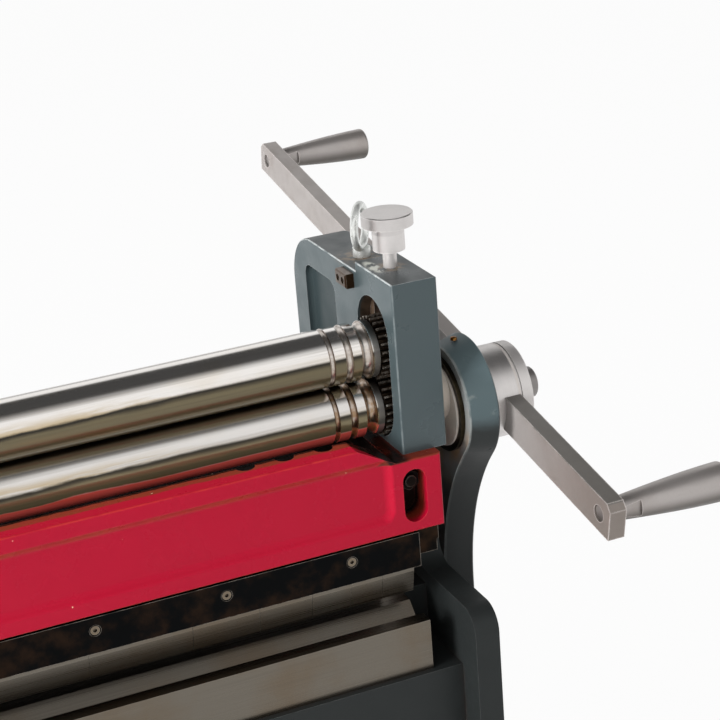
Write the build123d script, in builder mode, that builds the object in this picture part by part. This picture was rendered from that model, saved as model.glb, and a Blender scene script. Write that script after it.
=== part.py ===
from build123d import *

import math
import os

# Combination sheet metal machine: a press brake at the front, a shear behind it and a slip roll on top,
# all worked by one crank shaft. Millimetres. X runs along the rolls, Y to the back and Z up. The floor is
# Z = 0, the pinch rolls lie over Y = 0, and the ram stands at the top of its stroke.

# Overall
seat_height = 540.0           # floor to the seats of the roll housings on the ram
stroke = 23.0                 # travel of the ram
run_clearance = 0.05          # radial, round turning journals and screws
slide_clearance = 0.3         # between sliding faces

# Rolls
roll_span = 1040.0            # between the inner faces of the roll housings
roll_radius = 21.0
roll_gap = 1.1                # between the pinch rolls at rest
roll_end_gap = 4.0            # pinch roll's end to the housing
axis_height = 26.4            # lower roll's axis above the seat
rear_reach = 102.0            # rear roll's axis behind the pinch rolls
rear_end_gap = 13.0           # rear roll's end to the housing
gear_seat_radius = 17.5
low_journal_radius = 17.0
top_journal_radius = 14.0
rear_journal_radius = 10.0
shaft_radius = 12.0           # lower roll's ends, under the eccentrics
groove_radii = (2.0, 2.75, 4.2)
groove_reaches = (40.0, 27.0, 13.4)   # wire grooves from the right housing's inner face

# Gears on the pinch rolls
gear_teeth = 24
gear_width = 12.5
gear_start_gap = 3.0          # gear's inner face before the housing's face
gear_addendum = 0.9           # tooth height beyond the pitch circle, in modules
gear_dedendum = 1.25
gear_root_share = 0.29        # half the tooth's width at root and tip, as a share of the pitch
gear_tip_share = 0.11

# Roll housings
housing_thick = 34.5
housing_front = 39.0          # front face before the pinch rolls
housing_depth = 192.0
housing_height = 126.5
housing_front_top = 64.0      # length of the raised front part of the top
housing_step = 7.0
housing_corner = 40.0
housing_edge = 1.5
gear_hole_radius = 27.0
gear_hole_bottom = 2.0
gear_hole_top = 107.5
gear_hole_depth = 10.0
block_slot_width = 36.0
block_slot_bottom = 52.0
pocket_width = 59.0
pocket_shift = 4.5            # pocket's middle before the rear roll's axis
pocket_top = 98.5
pocket_depth = 5.5
pocket_corner = 10.0
pocket_round = 3.5            # along the pocket's floor

# Bearing blocks and their adjusting knobs
top_lift = 3.0
knob_reach = 17.2             # top knob's axis beyond the housing's inner face
knob_screw_radius = 5.0
knob_screw_bared = 13.0       # screw seen between the housing and the knob
knob_sleeve_radius = 11.5
knob_sleeve_height = 18.0
knob_disc_radius = 18.4
knob_disc_height = 9.0
screw_seat = 8.0              # depth of a screw's end in its block
rear_lift = 18.0
rear_drop = 7.0               # rear roll's axis below the lower roll's, at its lowest
rear_block_proud = 8.0        # rear block stands out of its pocket
rear_block_drop = 19.0        # below the rear roll's axis
rear_block_rise = 13.4        # above the rear roll's axis
rear_screw_radius = 4.5
rear_screw_inset = 1.5        # rear screw's axis before the housing's inner face
rear_screw_seat = 6.0
rear_knob_radius = 16.0
rear_knob_height = 11.0

# Small pieces on the housings
stop_block_size = (7.0, 19.0, 11.0)
stop_block_front = 28.0
stop_block_base = 106.0
stop_screw_radius = 2.6
stop_screw_depth = 3.0
stop_screw_inset = 5.3        # screws from the block's ends
stop_block_edge = 1.2
eye_reach = 18.4              # eye bolt beyond the housing's inner face
eye_back = 54.7               # eye bolt behind the pinch rolls
eye_ring_radius = 15.5
eye_wire_radius = 3.0
eye_collar_radius = 6.6
eye_collar_height = 6.6
eye_ring_sunk = 2.8           # ring's lowest point within the collar
eye_stud_radius = 4.0
eye_stud_length = 13.0
eye_turn = 38.0               # degrees that the eye is turned from the machine's length

# Ram
ram_ledge = 9.5               # ram's front before the housings
ram_end_reach = 24.5          # ram's end beyond the housing's inner face
ram_drop = 56.5               # ram's underside below the seat
ram_edge = 1.2
lip_height = 15.3
lip_width = 20.0
lip_top_gap = 39.0            # level top of the lip to the housing's inner face
lip_foot_gap = 11.4           # foot of the lip's slope to the housing's inner face
front_wall = 33.5
deck_drop = 14.0
deck_thick = 20.0
web_front = 30.0
web_width = 26.0
web_drop = 80.0
panel_depth = 3.5
panel_taper = 50.0
panel_end_gap = 13.0
panel_rise = 3.8              # panel's top above the seat
panel_foot = 11.5             # panel's bottom above the ram's underside
panel_corner = 9.0
panel_brow = 3.0              # rounding at the panel's rim
panel_sweep = 6.5             # rounding at the panel's floor
window_width = 18.0
window_height = 41.0
window_reach = 3.3
window_drop = 28.7
window_depth = 22.0
notch_radius = 7.2            # half-round notches in the back of the lip
notch_depth = 24.0
notch_first = 56.0
notch_pitch = 29.1
notch_count = 3

# Punch and its clamp under the ram
clamp_end_reach = 5.0
clamp_top_gap = 2.5           # clamp bar's top below the ram
clamp_back = 2.5              # clamp bar's face behind the ram's front
clamp_thick = 10.0
clamp_height = 27.0
clamp_screw_count = 11
clamp_screw_end = 53.0        # outer screws from the bar's ends
clamp_screw_drop = 12.5
clamp_screw_radius = 2.0
clamp_head_radius = 3.3
clamp_head_height = 3.0
clamp_head_sunk = 0.3         # heads below the bar's face
clamp_seat_gap = 0.8          # round each head
clamp_socket_radius = 1.6     # hexagon socket, middle to corner
clamp_socket_depth = 1.6
screw_radius = 3.0
screw_head_radius = 4.5
screw_head_height = 4.0
screw_grip = 12.0             # thread length beyond the clamped piece
backing_end_step = 1.5        # lower step's ends short of the backing's
backing_height = 16.5
backing_width = 24.0
backing_step = 9.0
backing_end_block = 19.0      # full-depth ends of the lower step
punch_thick = 10.0
punch_taper_height = 18.0
punch_tip_width = 1.2
punch_reach = 39.0
punch_seam = 0.3
punch_widths = (25, 25, 30, 40, 50, 75, 100, 150, 200, 352)

# Shear blades and hold-down
upper_blade_thick = 10.0
upper_blade_grip = 40.0       # blade's lap on the ram's web
upper_blade_short = 24.0      # blade's reach below the web at the high end
blade_rake = 18.0
blade_screw_count = 11
blade_screw_end = 30.0
lower_blade_thick = 11.7
lower_blade_height = 40.0
hold_down_width = 18.0
hold_down_height = 25.0
hold_down_edge = 1.0
hold_down_gap = 7.0           # above the table at rest
hold_down_end_gap = 5.0
hold_down_web_gap = 2.3
hold_pin_radius = 6.0
hold_pin_spacing = 400.0
hold_pin_count = 3

# Bed and die
table_drop = 126.0            # die's top below the seat
die_width = 48.0
die_height = 40.0
die_groove_width = 24.0
die_groove_depth = 12.0
die_end_reach = 5.0
bed_front_margin = 5.0
bed_height = 74.0             # bed below the die
bed_rear_margin = 2.3         # bed behind the lower blade
bed_wall = 20.0
bed_top_wall = 24.0
bed_cavity_end = 46.0

# Side frames
frame_gap = 2.0               # between the ram's end and the frame
frame_thick = 19.0
frame_front = 85.0
frame_back = 112.0
frame_shoulder = 115.0        # shoulders below the seat
frame_knee = 280.0            # where the legs start to spread, below the seat
frame_corner = 18.0
upright_top = 27.0            # guide upright below the seat
upright_front = 12.0
upright_width = 58.0
foot_half_depth = 185.0
foot_thick = 16.0
foot_inner = 46.0             # foot's reach inside the frame plate
foot_outer = 24.0             # foot's reach outside the frame plate
foot_toe = 34.0               # height of the plate at the foot's ends
foot_hole_radius = 7.0
foot_hole_inset = 30.0
foot_hole_inside = 24.5       # bolt holes inside the frame plate
rib_thick = 14.0
rib_height = 90.0
gib_width = 30.0
gib_proud = 8.0
gib_edge = 1.0
gib_length = 96.0
gib_top_gap = 1.0
tie_height = 90.0
tie_radius = 12.0
tie_thread_radius = 8.0
tie_thread_proud = 2.0
nut_radius = 14.0
nut_height = 10.0
bed_bolt_radius = 6.0
bed_bolt_head = 11.0
bed_bolt_head_height = 8.0
bed_bolt_grip = 30.0
bed_bolt_back = 40.0          # before the pinch rolls
bed_bolt_pitch = 34.0

# Connecting rods and eccentrics
rod_gap = 5.9
rod_thick = 22.2
rod_draft = 5.5               # eye and shank are smaller at the inner face
rod_draft_reach = 20.6
rod_outer_edge = 1.0
eccentric_radius = 31.5
eccentric_proud = 4.6         # beyond the rod's inner face
bush_wall = 4.5
bush_proud = 3.2
eye_wall = 11.7
neck_front = 12.8             # rod's shank behind the crank shaft
neck_drop = 158.0             # where the neck meets the shank, below the eye
rod_width = 76.0
rod_foot_play = 2.0
pin_height = 200.0
pin_radius = 8.0
pin_head_radius = 14.0
pin_head_height = 8.0
pin_washer_radius = 37.0
pin_washer_thick = 3.0
collar_radius = 22.0
collar_gap = 0.5

# Cranks, on hubs that are turned in line with the eccentrics
hub_radius = 34.6
hub_gap = 0.7                 # hub's start beyond the rod
hub_cap = 10.6                # end cap beyond the bar
hub_seam_gap = 0.6            # seam beyond the bar
hub_seam_width = 1.2
hub_seam_depth = 0.7
hub_edge = 1.0
boss_radius = 11.5
boss_length = 16.0
bar_gap = 11.4                # bar's inner face beyond the rod
bar_thick = 12.6
bar_width = 27.1
bar_tilt = 10.5
bar_end = 14.0
bar_chamfer = 5.0             # on the bar's upper corners
front_arm = 168.0
rear_arm = 441.5
handle_length = 84.8
handle_start_radius = 8.1
handle_quarter_radius = 10.5
handle_middle_radius = 12.8
handle_end_radius = 13.9
handle_quarter = 25.0
handle_middle = 55.0
handle_round = 3.0
handle_flat = 15.0            # across the spanner flats
handle_flat_start = 4.0
handle_flat_length = 11.5
stud_radius = 6.0
stud_recess = 1.5

# Back gauge
gauge_spacing = 350.0         # rods either side of the middle
gauge_rod_radius = 8.0
gauge_rod_drop = 74.0         # rods below the table
gauge_rod_reach = 287.0       # rods behind the bed
gauge_rod_seat = 14.0
gauge_bar_half = 420.0
gauge_bar_thick = 12.0
gauge_bar_gap = 64.3          # bar behind the bed at its nearest
gauge_bar_rise = 14.0         # bar's top above the table
gauge_bar_height = 82.0
gauge_boss_radius = 18.0
gauge_boss_length = 36.0

# Housing bolts
housing_bolt_radius = 5.0
housing_bolt_depth = 22.0
housing_bolt_places = ((9.0, 46.0), (18.0, 144.5))   # beyond the inner face, behind the pinch rolls
housing_bolt_head = 8.5
housing_bolt_head_height = 7.0

# Stations along X
inner_x = roll_span / 2
outer_x = inner_x + housing_thick
ram_end_x = inner_x + ram_end_reach
frame_inner_x = ram_end_x + frame_gap
frame_outer_x = frame_inner_x + frame_thick
rod_inner_x = frame_outer_x + rod_gap
rod_outer_x = rod_inner_x + rod_thick
hub_x = rod_outer_x + hub_gap
bar_x = rod_outer_x + bar_gap
roll_end_x = inner_x - roll_end_gap
gear_x = inner_x - gear_start_gap
pad_x = inner_x - lip_foot_gap
knob_x = inner_x + knob_reach
rear_screw_x = inner_x - rear_screw_inset

# Heights
low_axis_z = seat_height + axis_height
top_axis_z = low_axis_z + 2 * roll_radius + roll_gap
throw = stroke / 2
eye_z = low_axis_z - throw
ram_bottom_z = seat_height - ram_drop
deck_z = seat_height - deck_drop
table_z = seat_height - table_drop
top_slot_z = seat_height + gear_hole_top
block_z = seat_height + block_slot_bottom + slide_clearance
block_top_z = top_slot_z - slide_clearance - top_lift
rear_axis_z = low_axis_z - rear_drop
rear_block_z = rear_axis_z - rear_block_drop

# Places along Y
pocket_y = rear_reach - pocket_shift
ram_front_y = -housing_front - ram_ledge
housing_rear_y = housing_depth - housing_front
web_rear_y = web_front + web_width
cut_y = web_rear_y - slide_clearance
clamp_y = ram_front_y + clamp_back
punch_y = clamp_y + clamp_thick
punch_middle_y = punch_y + punch_thick / 2
die_front_y = punch_middle_y - die_width / 2
lower_blade_y = cut_y - lower_blade_thick
bed_rear_y = cut_y + bed_rear_margin
bed_front_y = die_front_y - bed_front_margin
gib_y = upright_front + upright_width / 2
foot_pin_y = neck_front + rod_width / 2


def front_plane(y):
    """A plane that faces the front, with X to the right and Z up."""
    return Plane(origin=(0, y, 0), x_dir=(1, 0, 0), z_dir=(0, -1, 0))


def side_plane(x, y=0.0, z=0.0):
    """A plane that faces the right, with Y across and Z up."""
    return Plane(origin=(x, y, z), x_dir=(0, 1, 0), z_dir=(1, 0, 0))


def shaft_plane(y, z):
    """A plane along X through a shaft's axis."""
    return Plane(origin=(0, y, z), x_dir=(1, 0, 0), z_dir=(0, -1, 0))


def block(x0, x1, y0, y1, z0, z1, mode=Mode.ADD):
    """A square block between its faces."""
    with Locations(((x0 + x1) / 2, (y0 + y1) / 2, (z0 + z1) / 2)):
        Box(abs(x1 - x0), abs(y1 - y0), abs(z1 - z0), mode=mode)


def turned(stations, y, z):
    """A turned bar along X, from stations of (start, end, radius)."""
    for start, end, radius in stations:
        peg((start, y, z), (1, 0, 0), radius, end - start)


def upright_turned(stations, x, y):
    """A turned bar along Z, from stations of (start, end, radius)."""
    for start, end, radius in stations:
        peg((x, y, start), (0, 0, 1), radius, end - start)


def both_ends(start, end, radius):
    """One station at each end of a shaft."""
    return [(start, end, radius), (-end, -start, radius)]


def peg(place, direction, radius, length, mode=Mode.ADD):
    """A plain round pin from a place along a direction."""
    with Locations(Plane(origin=place, z_dir=direction)):
        Cylinder(radius, length, align=(Align.CENTER, Align.CENTER, Align.MIN), mode=mode)


def drill(place, direction, radius, depth):
    """A plain round hole from a place along a direction."""
    peg(place, direction, radius, depth, mode=Mode.SUBTRACT)


def hexagon(place, direction, radius, height, mode=Mode.ADD):
    """A hexagon head, nut or socket from a place along a direction."""
    with BuildSketch(Plane(origin=place, z_dir=direction)) as head:
        RegularPolygon(radius, 6)
    extrude(head.sketch, amount=height, mode=mode)


def to_side(side):
    """Turns a right-hand piece into a left-hand one where the side is negative."""
    if side < 0:
        mirror(about=Plane.YZ, mode=Mode.REPLACE)


def spread(count, half):
    """Evenly spaced places between minus half and half."""
    return [half * (2 * index / (count - 1) - 1) for index in range(count)]


def save(piece, label):
    piece.part.label = label
    export_step(piece.part, f"parts/{label}.step")


# Rolls

def lower_roll():
    with BuildPart() as roll:
        stations = [(-roll_end_x, roll_end_x, roll_radius)]
        stations += both_ends(roll_end_x, gear_x + gear_width, gear_seat_radius)
        stations += both_ends(gear_x + gear_width, outer_x, low_journal_radius)
        stations += both_ends(outer_x, hub_x, shaft_radius)
        turned(stations, 0, low_axis_z)
        wire_grooves(low_axis_z)
    return roll


def top_roll():
    with BuildPart() as roll:
        stations = [(-roll_end_x, roll_end_x, roll_radius)]
        stations += both_ends(roll_end_x, gear_x + gear_width, gear_seat_radius)
        stations += both_ends(gear_x + gear_width, outer_x - slide_clearance, top_journal_radius)
        turned(stations, 0, top_axis_z)
        wire_grooves(top_axis_z)
    return roll


def rear_roll():
    end_x = inner_x - rear_end_gap
    journal_end_x = inner_x + pocket_depth - 2 * slide_clearance
    with BuildPart() as roll:
        stations = [(-end_x, end_x, roll_radius)]
        stations += both_ends(end_x, journal_end_x, rear_journal_radius)
        turned(stations, rear_reach, rear_axis_z)
    return roll


def wire_grooves(axis_z):
    """Half-round grooves for rolling wire, near the roll's right end."""
    for radius, reach in zip(groove_radii, groove_reaches):
        with Locations(Plane(origin=(inner_x - reach, 0, axis_z), z_dir=(1, 0, 0))):
            Torus(roll_radius, radius, mode=Mode.SUBTRACT)


# Gears

def roll_gear(side, axis_z, half_tooth):
    """A spur gear whose teeth leave backlash at the pinch rolls' closest setting."""
    pitch_radius = (top_axis_z - low_axis_z) / 2
    module = 2 * pitch_radius / gear_teeth
    tip_radius = pitch_radius + gear_addendum * module
    root_radius = pitch_radius - gear_dedendum * module
    pitch_angle = 360 / gear_teeth
    root_half = gear_root_share * pitch_angle
    tip_half = gear_tip_share * pitch_angle
    points = []
    for tooth in range(gear_teeth):
        middle = (tooth + 0.5 * half_tooth) * pitch_angle
        for radius, turn in ((root_radius, -root_half), (tip_radius, -tip_half),
                             (tip_radius, tip_half), (root_radius, root_half)):
            angle = math.radians(middle + turn)
            points.append((radius * math.cos(angle), radius * math.sin(angle)))
    with BuildPart() as gear:
        with BuildSketch(side_plane(gear_x, 0, axis_z)):
            with BuildLine():
                Polyline(*points, close=True)
            make_face()
            Circle(gear_seat_radius, mode=Mode.SUBTRACT)
        extrude(amount=gear_width)
        to_side(side)
    return gear


# Roll housings and what sits on them

def roll_housing(side):
    top_z = seat_height + housing_height
    step_y = housing_front_top - housing_front
    slot_top_z = top_slot_z
    with BuildPart() as housing:
        with BuildSketch(side_plane(inner_x)) as profile:
            with BuildLine():
                Polyline(
                    (-housing_front, seat_height),
                    (-housing_front, top_z),
                    (step_y, top_z),
                    (step_y, top_z - housing_step),
                    (housing_rear_y, top_z - housing_step),
                    (housing_rear_y, seat_height),
                    close=True,
                )
            make_face()
            rear_corner = profile.vertices().group_by(Axis.X)[-1].sort_by(Axis.Y)[-1]
            fillet(rear_corner, housing_corner)
        extrude(amount=housing_thick)
        rims = housing.faces().sort_by(Axis.X)[0].edges() + housing.faces().sort_by(Axis.X)[-1].edges()
        fillet([edge for edge in rims if edge.center().Z > seat_height + housing_edge], housing_edge)
        # Gear hole on the inner face, with the bearing places behind it
        hole_length = gear_hole_top - gear_hole_bottom - 2 * gear_hole_radius
        with BuildSketch(side_plane(inner_x, 0, seat_height + (gear_hole_top + gear_hole_bottom) / 2)):
            SlotCenterToCenter(hole_length, 2 * gear_hole_radius, rotation=90)
        extrude(amount=gear_hole_depth, mode=Mode.SUBTRACT)
        drill((inner_x, 0, low_axis_z), (1, 0, 0), low_journal_radius + run_clearance, housing_thick)
        half_slot = block_slot_width / 2
        block(inner_x + gear_hole_depth, outer_x, -half_slot, half_slot,
              seat_height + block_slot_bottom, slot_top_z, mode=Mode.SUBTRACT)
        # Rear pocket, open below, in which the rear block slides
        with BuildSketch(side_plane(inner_x)):
            with Locations((pocket_y, seat_height + pocket_top / 2 - pocket_corner)):
                RectangleRounded(pocket_width, pocket_top + 2 * pocket_corner, pocket_corner)
        extrude(amount=pocket_depth, mode=Mode.SUBTRACT)
        floor_x = inner_x + pocket_depth
        low_z = seat_height + slide_clearance
        on_floor = [edge for edge in housing.edges() if abs(edge.center().X - floor_x) < slide_clearance]
        fillet([edge for edge in on_floor if edge.center().Z > low_z], pocket_round)
        # Holes for the adjusting screw, the eye bolt and the bolts from the ram
        drill((knob_x, 0, slot_top_z), (0, 0, 1), knob_screw_radius + run_clearance, housing_height)
        drill((inner_x + eye_reach, eye_back, top_z - housing_step), (0, 0, -1),
              eye_stud_radius, eye_stud_length)
        for reach, back in housing_bolt_places:
            drill((inner_x + reach, back, seat_height), (0, 0, 1), housing_bolt_radius, housing_bolt_depth)
        to_side(side)
    return housing


def stop_block(side):
    length, width, height = stop_block_size
    base_z = seat_height + stop_block_base
    with BuildPart() as stop:
        block(inner_x - length, inner_x, stop_block_front, stop_block_front + width,
              base_z, base_z + height)
        chamfer(stop.faces().sort_by(Axis.X)[0].edges(), stop_block_edge)
        for along in (stop_screw_inset, width - stop_screw_inset):
            place = (inner_x - length, stop_block_front + along, base_z + height / 2)
            drill(place, (1, 0, 0), stop_screw_radius, stop_screw_depth)
        to_side(side)
    return stop


def eye_bolt(side):
    x = inner_x + eye_reach
    base_z = seat_height + housing_height - housing_step
    turn = math.radians(eye_turn)
    ring_z = base_z + eye_collar_height - eye_ring_sunk + eye_ring_radius + eye_wire_radius
    with BuildPart() as eye:
        upright_turned([(base_z - eye_stud_length, base_z, eye_stud_radius),
                        (base_z, base_z + eye_collar_height, eye_collar_radius)], x, eye_back)
        with Locations(Plane(origin=(x, eye_back, ring_z), z_dir=(math.cos(turn), -math.sin(turn), 0))):
            Torus(eye_ring_radius, eye_wire_radius)
        to_side(side)
    return eye


def housing_bolts():
    with BuildPart() as bolts:
        for side in (1, -1):
            for reach, back in housing_bolt_places:
                x = side * (inner_x + reach)
                hexagon((x, back, ram_bottom_z), (0, 0, -1), housing_bolt_head, housing_bolt_head_height)
                peg((x, back, ram_bottom_z), (0, 0, 1), housing_bolt_radius, ram_drop + housing_bolt_depth)
    return bolts


# Bearing blocks and adjusting knobs

def top_block(side):
    half = block_slot_width / 2 - slide_clearance
    with BuildPart() as bearing:
        block(inner_x + gear_hole_depth + slide_clearance, outer_x - slide_clearance,
              -half, half, block_z, block_top_z)
        drill((inner_x, 0, top_axis_z), (1, 0, 0), top_journal_radius + run_clearance, housing_thick)
        drill((knob_x, 0, block_top_z), (0, 0, -1), knob_screw_radius + run_clearance, screw_seat)
        to_side(side)
    return bearing


def top_knob(side):
    foot_z = block_top_z - screw_seat + slide_clearance
    sleeve_z = seat_height + housing_height + knob_screw_bared
    disc_z = sleeve_z + knob_sleeve_height
    with BuildPart() as knob:
        upright_turned([(foot_z, sleeve_z, knob_screw_radius),
                        (sleeve_z, disc_z, knob_sleeve_radius),
                        (disc_z, disc_z + knob_disc_height, knob_disc_radius)], knob_x, 0)
        top = knob.faces().sort_by(Axis.Z)[-1]
        chamfer(top.edges(), housing_edge / 2)
        to_side(side)
    return knob


def rear_block(side):
    half = pocket_width / 2 - slide_clearance
    with BuildPart() as bearing:
        block(inner_x - rear_block_proud, inner_x + pocket_depth - slide_clearance,
              pocket_y - half, pocket_y + half, rear_block_z, rear_axis_z + rear_block_rise)
        chamfer(bearing.faces().sort_by(Axis.X)[-1].edges().filter_by(Axis.Z), pocket_round)
        drill((inner_x - rear_block_proud, rear_reach, rear_axis_z), (1, 0, 0),
              rear_journal_radius + run_clearance, rear_block_proud + pocket_depth)
        drill((rear_screw_x, rear_reach, rear_block_z), (0, 0, 1),
              rear_screw_radius + run_clearance, rear_screw_seat)
        to_side(side)
    return bearing


def rear_knob(side):
    head_z = rear_block_z + rear_screw_seat - slide_clearance
    knob_z = ram_bottom_z - rear_lift - slide_clearance
    with BuildPart() as knob:
        upright_turned([(knob_z, head_z, rear_screw_radius),
                        (knob_z - rear_knob_height, knob_z, rear_knob_radius)], rear_screw_x, rear_reach)
        to_side(side)
    return knob


# Ram and what is bolted to it

def ram_beam():
    pad_top_z = seat_height
    lip_z = seat_height + lip_height
    with BuildPart() as ram:
        # Front wall, deck and shear web between the end blocks
        with BuildSketch(side_plane(-pad_x)) as section:
            for y0, y1, z0, z1 in (
                (ram_front_y, ram_front_y + front_wall, ram_bottom_z, deck_z),
                (ram_front_y, housing_rear_y, deck_z - deck_thick, deck_z),
                (web_front, web_rear_y, seat_height - web_drop, deck_z),
            ):
                with Locations(((y0 + y1) / 2, (z0 + z1) / 2)):
                    Rectangle(y1 - y0, z1 - z0)
        extrude(amount=2 * pad_x)
        # Lip along the front, sloping down at both ends
        lip_top_x = inner_x - lip_top_gap
        with BuildSketch(front_plane(ram_front_y)):
            with BuildLine():
                Polyline((-pad_x, deck_z), (-pad_x, pad_top_z), (-lip_top_x, lip_z), (lip_top_x, lip_z),
                         (pad_x, pad_top_z), (pad_x, deck_z), close=True)
            make_face()
        extrude(amount=-lip_width)
        # End blocks that carry the roll housings
        for end in (-1, 1):
            block(end * pad_x, end * ram_end_x, ram_front_y, housing_rear_y, ram_bottom_z, pad_top_z)
        front_edges = [edge for edge in ram.edges() if edge.center().Y < ram_front_y + ram_edge]
        fronts = [edge for edge in front_edges if abs(edge.tangent_at(0).X) > 0.99]
        outer_edges = [edge for edge in front_edges if abs(edge.center().X) > pad_x + ram_edge]
        ends = [edge for edge in outer_edges if abs(edge.tangent_at(0).Z) > 0.99]
        fillet(fronts + ends, ram_edge)
        # Recessed panel on the front
        panel_top_z = seat_height + panel_rise
        panel_bottom_z = ram_bottom_z + panel_foot
        with BuildSketch(front_plane(ram_front_y)):
            with Locations((0, (panel_top_z + panel_bottom_z) / 2)):
                RectangleRounded(2 * (inner_x - panel_end_gap), panel_top_z - panel_bottom_z, panel_corner)
        extrude(amount=-panel_depth, taper=panel_taper, mode=Mode.SUBTRACT)
        front, floor = ram.faces().filter_by(Plane.XZ).sort_by(Axis.Y)[:2]
        fillet(front.inner_wires()[0].edges(), panel_brow)
        fillet(floor.outer_wire().edges(), panel_sweep)
        for end in (-1, 1):
            # Window in the end block
            with BuildSketch(front_plane(ram_front_y)):
                with Locations((end * (inner_x + window_reach), seat_height - window_drop)):
                    SlotOverall(window_height, window_width, rotation=90)
            extrude(amount=-window_depth, mode=Mode.SUBTRACT)
            # Notches along the back of the lip
            for index in range(notch_count):
                x = end * (inner_x - notch_first - index * notch_pitch)
                drill((x, ram_front_y + lip_width, lip_z), (0, 0, -1), notch_radius, notch_depth)
            # Guide groove on the end face
            half_gib = gib_width / 2 + slide_clearance
            block(end * (frame_inner_x - gib_proud - slide_clearance), end * ram_end_x,
                  gib_y - half_gib, gib_y + half_gib, ram_bottom_z, pad_top_z, mode=Mode.SUBTRACT)
            # Ways through for the rear screw and the housing bolts
            drill((end * rear_screw_x, rear_reach, ram_bottom_z), (0, 0, 1),
                  rear_screw_radius + run_clearance, ram_drop)
            for reach, back in housing_bolt_places:
                drill((end * (inner_x + reach), back, ram_bottom_z), (0, 0, 1),
                      housing_bolt_radius, ram_drop)
        for x in hold_pin_places():
            drill((x, hold_down_middle_y(), deck_z - deck_thick), (0, 0, 1),
                  hold_pin_radius + run_clearance, deck_thick)
        for x in blade_screw_places():
            drill((x, web_rear_y, blade_screw_z()), (0, -1, 0), screw_radius, screw_grip)
    return ram


def punch_backing():
    bottom_z = ram_bottom_z - backing_height
    step_z = bottom_z - backing_step
    step_x = ram_end_x - backing_end_step
    rear_y = punch_y + backing_width
    with BuildPart() as backing:
        block(-ram_end_x, ram_end_x, punch_y, rear_y, bottom_z, ram_bottom_z)
        block(-step_x, step_x, punch_y + punch_thick, rear_y, step_z, bottom_z)
        for end in (-1, 1):
            block(end * (step_x - backing_end_block), end * step_x, punch_y, rear_y, step_z, bottom_z)
        for x in clamp_screw_places():
            drill((x, punch_y, clamp_screw_z()), (0, 1, 0), clamp_screw_radius, screw_grip)
    return backing


def clamp_end_x():
    return inner_x + clamp_end_reach


def clamp_screw_places():
    return spread(clamp_screw_count, clamp_end_x() - clamp_screw_end)


def clamp_screw_z():
    return ram_bottom_z - clamp_screw_drop


def punch_clamp_bar():
    end_x = clamp_end_x()
    top_z = ram_bottom_z - clamp_top_gap
    with BuildPart() as bar:
        block(-end_x, end_x, clamp_y, punch_y, top_z - clamp_height, top_z)
        for x in clamp_screw_places():
            place = (x, clamp_y, clamp_screw_z())
            drill(place, (0, 1, 0), clamp_screw_radius, clamp_thick)
            drill(place, (0, 1, 0), clamp_head_radius + clamp_seat_gap, clamp_head_sunk + clamp_head_height)
    return bar


def clamp_screws():
    """Socket screws whose heads lie sunk in the clamp bar."""
    head_y = clamp_y + clamp_head_sunk
    seat_y = head_y + clamp_head_height
    with BuildPart() as screws:
        for x in clamp_screw_places():
            seat = (x, seat_y, clamp_screw_z())
            peg(seat, (0, -1, 0), clamp_head_radius, clamp_head_height)
            peg(seat, (0, 1, 0), clamp_screw_radius, punch_y - seat_y + screw_grip)
            hexagon((x, head_y, clamp_screw_z()), (0, 1, 0), clamp_socket_radius, clamp_socket_depth,
                    mode=Mode.SUBTRACT)
    return screws


def punch_segments():
    """Loose lengths of punch, standing side by side from the right-hand end."""
    top_z = ram_bottom_z - backing_height
    tip_z = top_z - punch_reach
    total = sum(punch_widths)
    middle = punch_middle_y
    with BuildPart() as punches:
        x = total / 2
        for width in punch_widths:
            with BuildSketch(side_plane(x - width)):
                with BuildLine():
                    Polyline(
                        (punch_y, top_z),
                        (punch_y + punch_thick, top_z),
                        (punch_y + punch_thick, tip_z + punch_taper_height),
                        (middle + punch_tip_width / 2, tip_z),
                        (middle - punch_tip_width / 2, tip_z),
                        (punch_y, tip_z + punch_taper_height),
                        close=True,
                    )
                make_face()
            extrude(amount=width - punch_seam)
            x -= width
    return punches


# Shear blades and hold-down

def blade_half():
    """Half the blades' length, just inside the ram's end blocks."""
    return pad_x - slide_clearance


def blade_screw_places():
    return spread(blade_screw_count, blade_half() - blade_screw_end)


def blade_screw_z():
    return seat_height - web_drop + upper_blade_grip / 2


def upper_blade():
    top_z = seat_height - web_drop + upper_blade_grip
    high_z = seat_height - web_drop - upper_blade_short
    half = blade_half()
    with BuildPart() as blade:
        with BuildSketch(front_plane(web_rear_y)):
            with BuildLine():
                Polyline((-half, top_z), (half, top_z), (half, high_z), (-half, high_z - blade_rake),
                         close=True)
            make_face()
        extrude(amount=-upper_blade_thick)
        for x in blade_screw_places():
            drill((x, web_rear_y, blade_screw_z()), (0, 1, 0), screw_radius, upper_blade_thick)
    return blade


def upper_blade_screws():
    face_y = web_rear_y + upper_blade_thick
    with BuildPart() as screws:
        for x in blade_screw_places():
            place = (x, face_y, blade_screw_z())
            peg(place, (0, 1, 0), screw_head_radius, screw_head_height)
            peg(place, (0, -1, 0), screw_radius, upper_blade_thick + screw_grip)
    return screws


def lower_blade():
    half = blade_half()
    with BuildPart() as blade:
        block(-half, half, lower_blade_y, cut_y, table_z - lower_blade_height, table_z)
        for x in blade_screw_places():
            place = (x, cut_y, table_z - lower_blade_height / 2)
            drill(place, (0, -1, 0), screw_radius, lower_blade_thick)
            drill(place, (0, -1, 0), screw_head_radius, screw_head_height)
    return blade


def lower_blade_screws():
    """Screws whose heads lie sunk in the lower blade."""
    with BuildPart() as screws:
        for x in blade_screw_places():
            head_y = cut_y - screw_head_height
            place = (x, head_y, table_z - lower_blade_height / 2)
            peg(place, (0, 1, 0), screw_head_radius, screw_head_height - slide_clearance)
            peg(place, (0, -1, 0), screw_radius, lower_blade_thick - screw_head_height + screw_grip)
    return screws


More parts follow.
